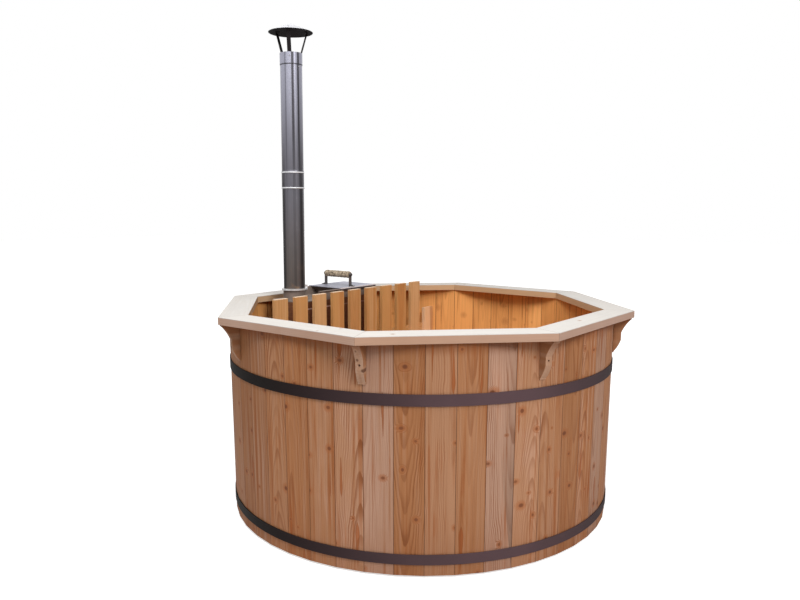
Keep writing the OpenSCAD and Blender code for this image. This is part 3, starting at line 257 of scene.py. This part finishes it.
def makeWood(name, wood, layOut, inside=None, seam=None, top=None):
    # Growth rings are circles round a pith that lies off the board, tilted along it, so flat faces
    # show arches. Knots are points strewn over the face, and they push the rings aside.
    f = Finish(name)
    index, along, across, depth = layOut(f)
    luck = [f.chance(index, salt) for salt in (1.0, 2.0, 3.0, 4.0, 5.0)]
    knot, halo, knotRadius, knotLuck = makeKnots(f, wood, across, along, luck)
    drift = woodNoise(f, "drift", across, along, luck[2]) - 0.5
    fibre = woodNoise(f, "fibre", across, along, luck[1], depth)
    streak = woodNoise(f, "streak", across, along, luck[3])
    patch = woodNoise(f, "patch", across, along, luck[0])
    lines = woodNoise(f, "lines", across, along, luck[0])

    side = across - (luck[2] - 0.5) * woodMix["pithSide"] + drift * wood["wander"]
    deep = depth + woodMix["pithRoom"] + luck[3] * wood["pithDepth"]
    tilt = (luck[4] - 0.5) * wood["slope"]
    reach = (side * side + deep * deep).root() + along * tilt + halo * knotRadius * woodMix["knotPush"]
    field = reach / wood["ringPitch"]
    ring = field.part()
    strong = f.chance(field.floor(), index).line(*woodMix["ringStrength"])
    late = ring.rise(*woodMix["ringDark"]) * (1.0 - ring.rise(*woodMix["ringEnd"])) * strong
    ringDepth = patch.line(*woodMix["ringPatch"]).rise(0.0, 1.0) * wood["ringDepth"]
    dark = late * (ringDepth * luck[3].line(*woodMix["ringBoard"]))
    heart = (1.0 - reach.size().rise(*woodMix["heart"])) * luck[1].rise(*woodMix["heartBoards"])

    base = f.blend(luck[0].mask(patch, *woodMix["tint"]), wood["early"], wood["tint"])
    base = f.blend(luck[1].mask(streak, *woodMix["warm"]), base, wood["warm"])
    base = f.blend(heart * woodMix["heartAmount"], base, wood["heart"])
    darkColour = wood["late"]
    grain, within = 1.0, 0.0
    if inside is not None:
        within = inside(f)
        grain = 1.0 - within * woodMix["insideGrain"]
        base = f.blend(within, base, wood["inside"])
    if top is not None:
        above = top(f)
        base = f.blend(above, base, wood["top"])
        darkColour = f.blend(above, wood["late"], wood["topLate"])
    # a painted shadow under the rim, and painted shade that darkens the foot
    if "paintedShade" in wood:
        rimShadow = f.z.rise(*woodMix["rimShadow"]) * (1.0 - within) * woodMix["rimShadowAmount"]
        footShade = (1.0 - f.z.rise(*woodMix["footShade"])) * woodMix["footShadeAmount"]
        base = f.blend(footShade, f.blend(rimShadow, base, wood["paintedShade"]), wood["paintedShade"])
    if "flame" in wood:
        flame, outline = makeFlames(f, wood, across, along, luck, drift)
        resin = streak.rise(*woodMix["resinStreak"]) * patch.rise(*woodMix["resinPatch"])
        base = f.blend(resin * woodMix["resinAmount"] * grain, base, wood["flame"])
        base = f.blend(flame * streak.line(*woodMix["flameAmount"]) * grain, base, wood["flame"])
        base = f.blend(outline * woodMix["outlineAmount"] * grain, base, wood["late"])
    base = f.blend(dark * grain, base, darkColour)
    for noise, kind in ((streak, "streak"), (lines, "lines")):
        amount = noise.rise(*woodMix[kind]) * wood["ringDepth"] * woodMix[kind + "Amount"]
        base = f.blend(amount * grain, base, darkColour)
    base = f.blend(halo * woodMix["haloAmount"] * grain, base, wood["halo"])
    knotAmount = knotLuck.line(*woodMix["knotAmount"])
    base = f.blend(knot * knotAmount * (1.0 - within * woodMix["insideKnots"]), base, wood["knot"])
    if "checks" in wood:  # short cracks across the grain, on some boards only
        check = woodNoise(f, "check", across + luck[1] * woodMix["checkSlide"], along, luck[2])
        place = woodNoise(f, "checkPlace", across, along, luck[4])
        cracks = check.rise(*woodMix["check"]) * place.rise(*woodMix["checkPlace"])
        cracks = cracks * luck[4].rise(*woodMix["checkBoards"])
        base = f.blend(cracks * wood["checks"], base, wood["knot"])
    groove = 0.0
    if seam is not None:
        groove = seam(f)
        base = f.blend(groove * woodMix["seamAmount"], base, wood["seam"])

    tone = (1.0 + (luck[4] - 0.5) * wood["spread"]) * fibre.line(*woodMix["fibreTone"])
    tone = tone * patch.line(*woodMix["patchTone"])
    relief = woodMix["relief"]
    height = fibre * relief["fibre"] + dark * relief["late"] + knot * relief["knot"] + groove * relief["seam"]
    roughness = wood["roughness"] + fibre * woodMix["fibreRoughness"] + late * woodMix["lateRoughness"]
    return f.set(
        Base_Color=f.shade(base, tone), Roughness=roughness,
        Specular_IOR_Level=woodMix["specular"], Normal=f.bump(height, *woodMix["bump"]))


# A layout gives a board's number, and distances along it, across it and into it. The other functions
# give 1 on one of its faces or edges. All sizes are in metres.
staveShape = {"count": 48, "middle": 0.95, "seam": (0.0022, 0.0006), "taper": 0.015, "inner": (0.955, 0.965)}


def staveLayout(f):
    index, sideways, outwards = f.sector(staveShape["count"], 0.5)
    return index, f.z, sideways, outwards - staveShape["middle"]


def staveSeam(f):  # by the angle from the stave's middle
    sideways, outwards = f.sector(staveShape["count"], 0.5)[1:]
    edge = math.tan(math.pi / staveShape["count"])
    start, end = staveShape["seam"]
    return (sideways / outwards).size().rise(edge - start, edge - end)


def innerSide(f):
    return 1.0 - (f.radius() - f.z * staveShape["taper"]).rise(*staveShape["inner"])


rimShape = {
    "sides": 8, "middle": 0.945, "level": 1.0, "seam": (0.0012, 0.0003),
    "inner": (0.8800, 0.8815), "top": (1.0415, 1.0440),
}


def rimLayout(f):
    index, sideways, outwards = f.sector(rimShape["sides"])
    return index, sideways, outwards - rimShape["middle"], f.z - rimShape["level"]


def rimSeam(f):  # along the mitres
    sideways, outwards = f.sector(rimShape["sides"])[1:]
    return (math.tan(math.pi / rimShape["sides"]) * outwards - sideways.size()).rise(*rimShape["seam"])


def rimInside(f):
    return 1.0 - f.sector(rimShape["sides"])[2].rise(*rimShape["inner"])


def rimTop(f):
    return f.z.rise(*rimShape["top"])


bracketShape = {"middle": 1.0, "side": (0.0166, 0.0172)}


def bracketLayout(f):
    index, sideways, outwards = f.sector(rimShape["sides"], 0.5)
    return index, f.z, sideways, outwards - bracketShape["middle"]


def bracketSide(f):
    return f.sector(rimShape["sides"], 0.5)[1].size().rise(*bracketShape["side"])


slatShape = {"first": 0.03, "pitch": 0.145, "face": 0.495, "top": (1.0750, 1.0785)}


def slatLayout(f):
    sideways = f.x - slatShape["first"]
    index = (sideways / slatShape["pitch"] + 0.5).floor()
    return index, f.z, sideways - index * slatShape["pitch"], f.y - slatShape["face"]


def slatTop(f):
    return f.z.rise(*slatShape["top"])


railShape = {"pitch": 0.4, "face": 0.515}


def railLayout(f):
    index = (f.z / railShape["pitch"]).floor()
    return index, f.x, f.z - index * railShape["pitch"], f.y - railShape["face"]


floorShape = {"width": 0.12, "bearerPitch": 0.52}


def floorLayout(f):
    index = (f.y / floorShape["width"]).floor()
    return index, f.x, f.y - index * floorShape["width"] - floorShape["width"] / 2, f.z


def bearerLayout(f):
    index = (f.x / floorShape["bearerPitch"] + 0.5).floor()
    return index, f.y, f.x - index * floorShape["bearerPitch"], f.z


benchShape = {
    "seatSlit": 0.733, "seatMiddle": 0.66, "seatStep": 0.14, "seatLevel": 0.48, "armLevel": 0.43,
    "legSplit": 0.8, "legMiddle": 0.68, "legStep": 0.24,
}


def seatLayout(f):  # two boards to a seat
    index, sideways, outwards = f.sector(rimShape["sides"])
    outer = outwards.over(benchShape["seatSlit"])
    across = outwards - benchShape["seatMiddle"] - outer * benchShape["seatStep"]
    return index * 2.0 + outer, sideways, across, f.z - benchShape["seatLevel"]


def armLayout(f):
    index, sideways, outwards = f.sector(rimShape["sides"], 0.5)
    return index, outwards, sideways, f.z - benchShape["armLevel"]


def legLayout(f):  # two legs to an arm
    index, sideways, outwards = f.sector(rimShape["sides"], 0.5)
    outer = outwards.over(benchShape["legSplit"])
    depth = outwards - benchShape["legMiddle"] - outer * benchShape["legStep"]
    return index * 2.0 + outer, f.z, sideways, depth


# In the finishes that follow, two numbers mean the same as in the woods, two colours are the ends of
# a mix, and an Amount is how much of a colour is mixed in at most.
hoopPaint = {
    # the paler colour is a painted sheen, mixed in towards one side round the tub
    "blackPaint": (0.007, 0.005, 0.004), "sheenColour": (0.094, 0.056, 0.061), "rust": (0.13, 0.075, 0.06),
    "sheenFacing": -122, "paintedSheen": 3.4, "sheenAmount": (0.75, 0.5),  # the angle round the tub, in degrees, where the painted sheen is brightest, then its falloff and amount
    "rustSpots": (0.62, 0.80), "rustAmount": 0.35,
    "wear": {"scale": 2.6, "detail": 6.0, "roughness": 0.6},
    "fine": {"scale": 160.0, "detail": 3.0, "roughness": 0.6},
    "roughness": (0.42, 0.25), "specular": 0.06, "bump": (0.0004, 0.3),
}


def makeHoopPaint():  # satin black, with a painted sheen that makes it paler towards one side round the tub
    f = Finish("hoopPaint")
    wear = f.noise(f.place, **hoopPaint["wear"])
    fine = f.noise(f.place, **hoopPaint["fine"])
    # a painted sheen, brightest at one angle round the tub
    turn = math.radians(hoopPaint["sheenFacing"])
    facing = f.x * math.cos(turn) + f.y * math.sin(turn)
    paintedSheen = facing.sum("MAXIMUM", facing, 0.0) ** hoopPaint["paintedSheen"]
    base = f.blend(paintedSheen * wear.line(*hoopPaint["sheenAmount"]), hoopPaint["blackPaint"], hoopPaint["sheenColour"])
    # rust spots, only where the painted sheen is
    rust = fine.rise(*hoopPaint["rustSpots"]) * paintedSheen * hoopPaint["rustAmount"]
    return f.set(
        Base_Color=f.blend(rust, base, hoopPaint["rust"]), Metallic=0.0,
        Roughness=wear.line(*hoopPaint["roughness"]), Specular_IOR_Level=hoopPaint["specular"],
        Normal=f.bump(fine, *hoopPaint["bump"]))


stoveSteel = {
    "top": ((0.170, 0.132, 0.110), (0.260, 0.205, 0.172)), "topClouds": (0.35, 0.7),
    # wall is a rusty heat stain that also paints in a reflection of the orange wood round the stove
    "wall": ((0.125, 0.036, 0.008), (0.210, 0.072, 0.018)), "wallClouds": (0.3, 0.7),
    "wallEnd": (1.0290, 1.0305), "wallAmount": 0.9,
    "rust": (0.20, 0.085, 0.035), "rustClouds": ((0.5, 0.5), (0.54, 0.68)), "rustAmount": 0.4,
    "weld": (0.62, 0.42, 0.35), "weldLevel": 0.9915, "weldWander": 0.004, "weldEdge": (0.0025, 0.0045),
    "weldFades": (-0.10, 0.02), "weldFading": 0.75, "weldFront": 0.562, "weldHeight": 0.6,
    "cloud": {"scale": 6.0, "detail": 6.0, "roughness": 0.65},
    "grain": {"scale": 90.0, "detail": 4.0, "roughness": 0.65},
    "lump": {"x": 160.0, "y": 0.0, "z": 160.0, "detail": 2.0, "roughness": 0.5},
    "metallic": 0.1, "roughness": (0.6, 0.2), "bump": (0.0010, 0.35),
}


def makeStoveSteel():  # heat-stained to a rusty brown on the walls, which also paints in a reflection of the orange wood round them, with a pale weld line across the front near the top
    f = Finish("stoveSteel")
    cloud = f.noise(f.place, **stoveSteel["cloud"])
    grain = f.noise(f.place, **stoveSteel["grain"])
    lump = f.stretched(**stoveSteel["lump"])
    base = f.blend(cloud.rise(*stoveSteel["topClouds"]), *stoveSteel["top"])
    # the walls: rusty heat stain and a painted reflection of the orange wood
    wallStainAndReflection = f.blend(grain.rise(*stoveSteel["wallClouds"]), *stoveSteel["wall"])
    base = f.blend((1.0 - f.z.rise(*stoveSteel["wallEnd"])) * stoveSteel["wallAmount"], base, wallStainAndReflection)
    rust = cloud.mask(grain, *stoveSteel["rustClouds"]) * stoveSteel["rustAmount"]
    base = f.blend(rust, base, stoveSteel["rust"])
    line = (f.z - stoveSteel["weldLevel"] + (lump - 0.5) * stoveSteel["weldWander"]).size()
    weld = (1.0 - line.rise(*stoveSteel["weldEdge"])) * (1.0 - f.y.over(stoveSteel["weldFront"]))
    weld = weld * (1.0 - f.x.rise(*stoveSteel["weldFades"]) * stoveSteel["weldFading"])
    return f.set(
        Base_Color=f.blend(weld, base, stoveSteel["weld"]), Metallic=stoveSteel["metallic"],
        Roughness=grain.line(*stoveSteel["roughness"]),
        Normal=f.bump(grain + weld * (stoveSteel["weldHeight"] + lump), *stoveSteel["bump"]))


lidSteel = {
    "sheet": ((0.29, 0.29, 0.35), (0.40, 0.40, 0.47)), "sheetClouds": (0.3, 0.7),
    "scratched": (0.62, 0.61, 0.66), "scratches": (0.55, 0.75), "scratchAmount": 0.4,
    # edge is a painted highlight along the top of the front and back edges, and side is painted shade on the bent
    # sides
    "edge": (0.72, 0.66, 0.66), "middle": 0.682, "highlightWidth": (0.1265, 0.1278), "highlightLevel": (1.0815, 1.0830),
    "side": (0.085, 0.060, 0.055), "paintedShadeEnd": (1.0800, 1.0815),
    "cloud": {"scale": 9.0, "detail": 5.0, "roughness": 0.6},
    "scratch": {"x": 6.0, "y": 240.0, "z": 6.0, "detail": 3.0, "roughness": 0.6},
    "metallic": 0.45, "roughness": (0.40, 0.2), "bump": (0.0003, 0.3),
}


def makeLidSteel():  # brushed on top, with a painted highlight along the top of the bent front and back edges, and painted shade on the bent sides
    f = Finish("lidSteel")
    cloud = f.noise(f.place, **lidSteel["cloud"])
    scratch = f.stretched(**lidSteel["scratch"])
    base = f.blend(cloud.rise(*lidSteel["sheetClouds"]), *lidSteel["sheet"])
    base = f.blend(scratch.rise(*lidSteel["scratches"]) * lidSteel["scratchAmount"], base, lidSteel["scratched"])
    # painted highlight along the top of the front and back edges
    edge = (f.y - lidSteel["middle"]).size().rise(*lidSteel["highlightWidth"]) * f.z.rise(*lidSteel["highlightLevel"])
    base = f.blend(edge, base, lidSteel["edge"])
    # painted shade on the bent sides
    base = f.blend(1.0 - f.z.rise(*lidSteel["paintedShadeEnd"]), base, lidSteel["side"])
    return f.set(
        Base_Color=base, Metallic=lidSteel["metallic"], Roughness=cloud.line(*lidSteel["roughness"]),
        Normal=f.bump(scratch, *lidSteel["bump"]))


flueSteel = {
    "axis": (-0.271, 0.675),
    "foot": (0.135, 0.114, 0.104), "middle": (0.150, 0.145, 0.168), "top": (0.385, 0.385, 0.465),
    "footToMiddle": (1.15, 1.70), "middleToTop": (1.70, 2.40),
    "soot": (0.070, 0.066, 0.074), "sootClouds": ((0.6, 0.4), (0.48, 0.68)), "sootAmount": 0.50,
    "pale": (0.50, 0.50, 0.55), "paleClouds": ((0.6, 0.4), (0.56, 0.72)), "paleAmount": 0.35,
    "reflectionBands": [  # painted reflections, as dark bands: angle round the pipe, half width, strength low down and high up
        (-206, 28, 0.95, 0.0), (-167, 5, 0.1, 0.45), (-127, 8, 0.35, 0.85), (-97, 7, 0.35, 0.85),
        (-84, 13, 0.85, 0.2), (-40, 9, 0.5, 0.5), (12, 5, 0.6, 0.6), (48, 9, 0.45, 0.45), (105, 7, 0.6, 0.6)],
    # the colour, edge, streaks and heights of the painted reflections
    "paintedReflection": (0.014, 0.012, 0.014), "reflectionEdge": (0.4, 1.3), "reflectionStreaks": (0.7, 0.7), "reflectionLevels": (1.55, 2.00),
    "rust": (0.26, 0.165, 0.10), "rustClouds": (0.52, 0.66), "rustAmount": 0.75,
    "rustStart": (1.100, 1.104), "rustEnd": (1.10, 1.26),
    "lap": (0.030, 0.026, 0.028), "lapLevel": 2.311, "lapWidth": (0.0020, 0.0045), "lapAmount": 0.75,
    "bead": (0.78, 0.78, 0.80), "beads": (1.655, 1.739), "beadWidth": (0.0022, 0.0042),
    "broad": {"around": 1.9, "up": 0.10, "detail": 2.0, "roughness": 0.5, "shift": 4.0},
    "streak": {"around": 7.0, "up": 0.45, "detail": 4.0, "roughness": 0.6},
    "fine": {"around": 40.0, "up": 1.5, "detail": 2.0, "roughness": 0.5},
    "cloud": {"scale": 11.0, "detail": 5.0, "roughness": 0.6},
    "tone": (0.90, 0.2), "metallic": 0.7, "roughness": (0.30, 0.25), "bump": (0.0006, 0.25),
}


def makeFlueSteel():
    # The tint of heat falls off up the pipe, with soot and pale streaks. Dark bands at set angles round it, broken
    # by streaks, are painted reflections, and the raised beads are worn bright.
    f = Finish("flueSteel")
    axisX, axisY = flueSteel["axis"]
    turn = f.x.sum("ARCTAN2", f.y - axisY, f.x - axisX)

    def wrapped(around, up, detail, roughness, shift=0.0):  # noise that closes round the pipe
        where = f.vector(turn.cosine() * around + shift, turn.sine() * around, f.z * up)
        return f.noise(where, 1.0, detail, roughness)

    broad, streak, fine = [wrapped(**flueSteel[name]) for name in ("broad", "streak", "fine")]
    cloud = f.noise(f.place, **flueSteel["cloud"])
    base = f.blend(f.z.rise(*flueSteel["footToMiddle"]), flueSteel["foot"], flueSteel["middle"])
    base = f.blend(f.z.rise(*flueSteel["middleToTop"]), base, flueSteel["top"])
    base = f.blend(broad.mask(streak, *flueSteel["sootClouds"]) * flueSteel["sootAmount"], base, flueSteel["soot"])
    base = f.blend(streak.mask(cloud, *flueSteel["paleClouds"]) * flueSteel["paleAmount"], base, flueSteel["pale"])
    # dark bands at set angles round the pipe, broken by streaks: painted reflections
    height = f.z.rise(*flueSteel["reflectionLevels"])
    edgeStart, edgeEnd = flueSteel["reflectionEdge"]
    for angle, half, below, above in flueSteel["reflectionBands"]:
        off = (turn - math.radians(angle) + math.pi) / math.tau
        off = ((off - off.floor()) - 0.5).size() * 360.0
        paintedReflection = (1.0 - off.rise(half * edgeStart, half * edgeEnd)) * streak.line(*flueSteel["reflectionStreaks"])
        base = f.blend(paintedReflection * height.line(below, above - below), base, flueSteel["paintedReflection"])
    rust = cloud.rise(*flueSteel["rustClouds"]) * flueSteel["rustAmount"]
    rust = rust * (1.0 - f.z.rise(*flueSteel["rustEnd"])) * f.z.rise(*flueSteel["rustStart"])
    base = f.blend(rust, base, flueSteel["rust"])
    lap = 1.0 - (f.z - flueSteel["lapLevel"]).size().rise(*flueSteel["lapWidth"])
    base = f.blend(lap * flueSteel["lapAmount"], base, flueSteel["lap"])
    for level in flueSteel["beads"]:
        base = f.blend(1.0 - (f.z - level).size().rise(*flueSteel["beadWidth"]), base, flueSteel["bead"])
    return f.set(
        Base_Color=f.shade(base, fine.line(*flueSteel["tone"])), Metallic=flueSteel["metallic"],
        Roughness=cloud.line(*flueSteel["roughness"]), Normal=f.bump(fine + cloud, *flueSteel["bump"]))


capSteel = {
    "soot": (0.010, 0.007, 0.008), "top": (0.50, 0.50, 0.52), "tone": (0.75, 0.45),
    "foot": 2.482, "radius": 0.119, "height": 0.046,  # the cone that the cap is
    "sheet": 0.0009, "edge": 0.0003, "legsEnd": 2.481,
    "cloud": {"scale": 16.0, "detail": 5.0, "roughness": 0.65},
    "metallic": 0.15, "roughness": (0.50, 0.25), "specular": 0.2, "bump": (0.0008, 0.3),
}


def makeCapSteel():  # sooty below and on the legs, bare on the cone's upper side
    f = Finish("capSteel")
    cloud = f.noise(f.place, **capSteel["cloud"])
    slope = capSteel["height"] / capSteel["radius"]
    cone = capSteel["foot"] + (capSteel["radius"] - f.radius(*flueSteel["axis"])) * slope
    top = (f.z - cone + capSteel["sheet"]).rise(0.0, capSteel["edge"]) * f.z.over(capSteel["legsEnd"])
    base = f.blend(top, capSteel["soot"], capSteel["top"])
    return f.set(
        Base_Color=f.shade(base, cloud.line(*capSteel["tone"])), Metallic=top * capSteel["metallic"],
        Roughness=cloud.line(*capSteel["roughness"]), Specular_IOR_Level=capSteel["specular"],
        Normal=f.bump(cloud, *capSteel["bump"]))


gripWood = {
    "dark": (0.10, 0.065, 0.035), "pale": (0.56, 0.45, 0.32), "mottles": (0.38, 0.62),
    "bare": (0.70, 0.60, 0.46), "streaks": (0.55, 0.8), "streakAmount": 0.5,
    "mottle": {"scale": 95.0, "detail": 4.0, "roughness": 0.7},
    "streak": {"x": 260.0, "y": 30.0, "z": 260.0, "detail": 3.0, "roughness": 0.6},
    "roughness": (0.5, 0.2), "bump": (0.001, 0.4),
}


def makeGripWood():  # turned, and mottled by use
    f = Finish("gripWood")
    mottle = f.noise(f.place, **gripWood["mottle"])
    streak = f.stretched(**gripWood["streak"])
    base = f.blend(mottle.rise(*gripWood["mottles"]), gripWood["dark"], gripWood["pale"])
    base = f.blend(streak.rise(*gripWood["streaks"]) * gripWood["streakAmount"], base, gripWood["bare"])
    return f.set(
        Base_Color=base, Roughness=mottle.line(*gripWood["roughness"]), Normal=f.bump(mottle, *gripWood["bump"]))


# The small parts have two colours in clouds: the name, the colours, metallic, roughness and scale.
smallParts = {
    "zinc": ("zincPlate", (0.42, 0.42, 0.44), (0.26, 0.26, 0.27), 0.85, 0.32, 120.0),
    "darkScrew": ("darkScrew", (0.06, 0.045, 0.04), (0.12, 0.08, 0.06), 0.6, 0.4, 200.0),
    "clamp": ("clampBand", (0.86, 0.86, 0.86), (0.66, 0.66, 0.67), 0.8, 0.25, 60.0),
    "strap": ("strapSteel", (0.075, 0.07, 0.072), (0.16, 0.14, 0.13), 0.6, 0.4, 80.0),
    "iron": ("grateIron", (0.045, 0.04, 0.038), (0.12, 0.07, 0.05), 0.4, 0.6, 60.0),
    "brass": ("brass", (0.62, 0.44, 0.16), (0.42, 0.27, 0.09), 0.95, 0.25, 70.0),
    "chrome": ("plated", (0.72, 0.72, 0.73), (0.58, 0.58, 0.60), 1.0, 0.12, 90.0),
    "rubber": ("rubber", (0.022, 0.022, 0.022), (0.04, 0.04, 0.04), 0.0, 0.7, 200.0),
    "leverPaint": ("leverPaint", (0.42, 0.03, 0.02), (0.30, 0.02, 0.015), 0.0, 0.3, 60.0),
}
smallPartMix = {
    "clouds": (0.3, 0.75), "detail": 5.0, "noiseRoughness": 0.6, "cloudRoughness": 0.18, "bump": (0.0005, 0.25),
}


def makeSmallPart(name, colour, other, metallic, roughness, scale):
    f = Finish(name)
    cloud = f.noise(f.place, scale, smallPartMix["detail"], smallPartMix["noiseRoughness"])
    return f.set(
        Base_Color=f.blend(cloud.rise(*smallPartMix["clouds"]), colour, other), Metallic=metallic,
        Roughness=cloud.line(roughness, smallPartMix["cloudRoughness"]),
        Normal=f.bump(cloud, *smallPartMix["bump"]))


finishes = {
    "staves": makeWood("staveWood", staveWood, staveLayout, inside=innerSide, seam=staveSeam),
    "rim": makeWood("rimWood", rimWood, rimLayout, inside=rimInside, seam=rimSeam, top=rimTop),
    "bracket": makeWood("bracketWood", bracketWood, bracketLayout, top=bracketSide),
    "slat": makeWood("slatWood", fenceWood, slatLayout, top=slatTop),
    # painted light on the short slats
    "shortSlatPaintedLight": makeWood("shortSlatWoodPaintedLight", paintedLightShortWood, slatLayout),
    "rail": makeWood("railWood", fenceWood, railLayout),
    "floor": makeWood("floorWood", innerWood, floorLayout),
    "bearer": makeWood("bearerWood", innerWood, bearerLayout),
    "seat": makeWood("seatWood", innerWood, seatLayout),
    "arm": makeWood("armWood", innerWood, armLayout),
    "leg": makeWood("legWood", innerWood, legLayout),
    "hoop": makeHoopPaint(),
    "stove": makeStoveSteel(),
    "lid": makeLidSteel(),
    "flue": makeFlueSteel(),
    "cap": makeCapSteel(),
    "grip": makeGripWood(),
}
for finish, settings in smallParts.items():
    finishes[finish] = makeSmallPart(*settings)
print("finishes made:", len(finishes))

finishOf = {
    "staves": ["staves_a", "staves_b"],
    "rim": [f"rim_board_{i}" for i in range(1, 9)],
    "bracket": ["rim_brackets"],
    "slat": ["fence_slats"],
    "shortSlatPaintedLight": ["fence_short_slats"],
    "rail": ["fence_rails"],
    "floor": ["floor_boards_a", "floor_boards_b"],
    "bearer": ["floor_bearers"],
    "seat": [f"bench_seat_{i}" for i in range(1, 6)],
    "arm": ["bench_arms", "rim_dowels"],
    "leg": ["bench_legs"],
    "hoop": ["upper_hoop", "lower_hoop"],
    "stove": ["stove_body", "stove_top_plate", "stove_legs", "smoke_baffle", "hatch_frame", "flue_spigot"],
    "lid": ["stove_lid"],
    "flue": ["lower_flue_pipe", "upper_flue_pipe", "cap_collar"],
    "cap": ["rain_cap", "cap_legs"],
    "grip": ["handle_grip"],
    "zinc": ["hoop_bolts", "hoop_nuts", "bench_screws", "fence_screws", "stove_leg_screws", "flue_rivets"],
    "darkScrew": ["bracket_screws"],
    "clamp": ["flue_clamp"],
    "strap": ["handle_brackets", "handle_rod", "handle_fasteners"],
    "iron": ["fire_grate"],
    "brass": ["drain_nipple", "drain_nut", "valve_body", "hose_tail"],
    "chrome": ["valve_ball", "lever_nut"],
    "rubber": ["drain_gasket"],
    "leverPaint": ["valve_lever"],
}
for finish, names in finishOf.items():
    for name in names:
        nodes[name].data.materials.clear()
        nodes[name].data.materials.append(finishes[finish])
print("finishes given to the solids")

arris = {
    "width": {
        "staves": 0.0022, "rim": 0.0022, "bracket": 0.0012, "slat": 0.0022, "shortSlatPaintedLight": 0.0022, "rail": 0.0022,
        "floor": 0.0022, "bearer": 0.0022, "seat": 0.004, "arm": 0.0022, "leg": 0.0022, "lid": 0.0006},
    "sharp": ["rim_dowels"], "segments": 2, "angle": 35, "weld": 0.00002,
}


def roundEdges(name, width):
    weld = nodes[name].modifiers.new("weld", "WELD")
    weld.merge_threshold = arris["weld"]
    bevel = nodes[name].modifiers.new("arris", "BEVEL")
    bevel.width = width
    bevel.segments = arris["segments"]
    bevel.limit_method = "ANGLE"
    bevel.angle_limit = math.radians(arris["angle"])
    bevel.harden_normals = False


for finish, width in arris["width"].items():
    for name in finishOf[finish]:
        if name not in arris["sharp"]:
            roundEdges(name, width)
print("edges rounded")

# The floor glows where it is seen, less near the tub, so it looks white and still keeps the shadow.
room = {
    "floorSize": 60.0, "floorColour": (0.82, 0.82, 0.82), "floorRoughness": 0.9,
    "glow": 0.64, "farGlow": 0.22, "far": (1.5, 4.0), "ambient": 0.26, "backdrop": 1.0,
}
f = Finish("floorPaint")
f.set(Base_Color=room["floorColour"], Roughness=room["floorRoughness"])
ray = f.add("ShaderNodeLightPath", {}, (), "Is Camera Ray")
seen = ray.sum("MAXIMUM", ray, ray.also("Is Glossy Ray")).sum("MAXIMUM", ray, ray.also("Is Transmission Ray"))
glowStrength = seen * (room["glow"] + f.radius().rise(*room["far"]) * room["farGlow"])
glow = f.add("ShaderNodeEmission", {}, {"Color": (1.0, 1.0, 1.0), "Strength": glowStrength})
both = f.add("ShaderNodeAddShader", {}, [Value(f, f.shader.outputs[0]), glow])
f.tree.links.new(both.socket, f.tree.nodes["Material Output"].inputs["Surface"])

half = room["floorSize"] / 2
floorMesh = bpy.data.meshes.new("floor")
floorMesh.from_pydata([(-half, -half, 0), (half, -half, 0), (half, half, 0), (-half, half, 0)], [], [(0, 1, 2, 3)])
floorMesh.materials.append(f.material)
floor = bpy.data.objects.new("floor", floorMesh)
bpy.context.scene.collection.objects.link(floor)

# The world is white to the camera and in mirrored light, and dim as a light of its own.
world = bpy.data.worlds.new("studio")
bpy.context.scene.world = world
world.use_nodes = True
worldNodes, worldLinks = world.node_tree.nodes, world.node_tree.links
background = worldNodes["Background"]
path = worldNodes.new("ShaderNodeLightPath")
direct = worldNodes.new("ShaderNodeMath")
direct.operation = "MAXIMUM"
worldLinks.new(path.outputs["Is Camera Ray"], direct.inputs[0])
worldLinks.new(path.outputs["Is Glossy Ray"], direct.inputs[1])
strength = worldNodes.new("ShaderNodeMapRange")
strength.inputs["To Min"].default_value = room["ambient"]
strength.inputs["To Max"].default_value = room["backdrop"]
worldLinks.new(direct.outputs[0], strength.inputs["Value"])
worldLinks.new(strength.outputs[0], background.inputs["Strength"])
background.inputs["Color"].default_value = (1, 1, 1, 1)

lamps = {
    "overhead": {"place": (-2.2, -0.3, 5.3), "aim": (0.0, 0.1, 0.6), "size": 3.0, "power": 196.0},
    "front": {"place": (-2.5, -5.2, 5.2), "aim": (0.0, 0.0, 0.8), "size": 2.6, "power": 280.0},
}
for name, settings in lamps.items():
    data = bpy.data.lights.new(name, "AREA")
    data.size, data.energy = settings["size"], settings["power"]
    lamp = bpy.data.objects.new(name, data)
    bpy.context.scene.collection.objects.link(lamp)
    lamp.location = settings["place"]
    way = Vector(settings["place"]) - Vector(settings["aim"])
    lamp.rotation_euler = way.to_track_quat("Z", "Y").to_euler()

view = {
    "place": (-3.1942, -2.3379, 1.5607), "turn": -52.23, "tip": 82.77, "roll": 0.12, "lens": 33.54, "sensor": 36.0,
}
camera = bpy.data.objects.new("camera", bpy.data.cameras.new("camera"))
bpy.context.scene.collection.objects.link(camera)
camera.data.lens = view["lens"]
camera.data.sensor_width = view["sensor"]
camera.location = view["place"]
camera.rotation_euler = (
    Matrix.Rotation(math.radians(view["turn"]), 4, "Z")
    @ Matrix.Rotation(math.radians(view["tip"]), 4, "X")
    @ Matrix.Rotation(math.radians(view["roll"]), 4, "Z")).to_euler()
bpy.context.scene.camera = camera
bpy.context.scene.view_settings.view_transform = "Standard"
print("room, light and camera ready")
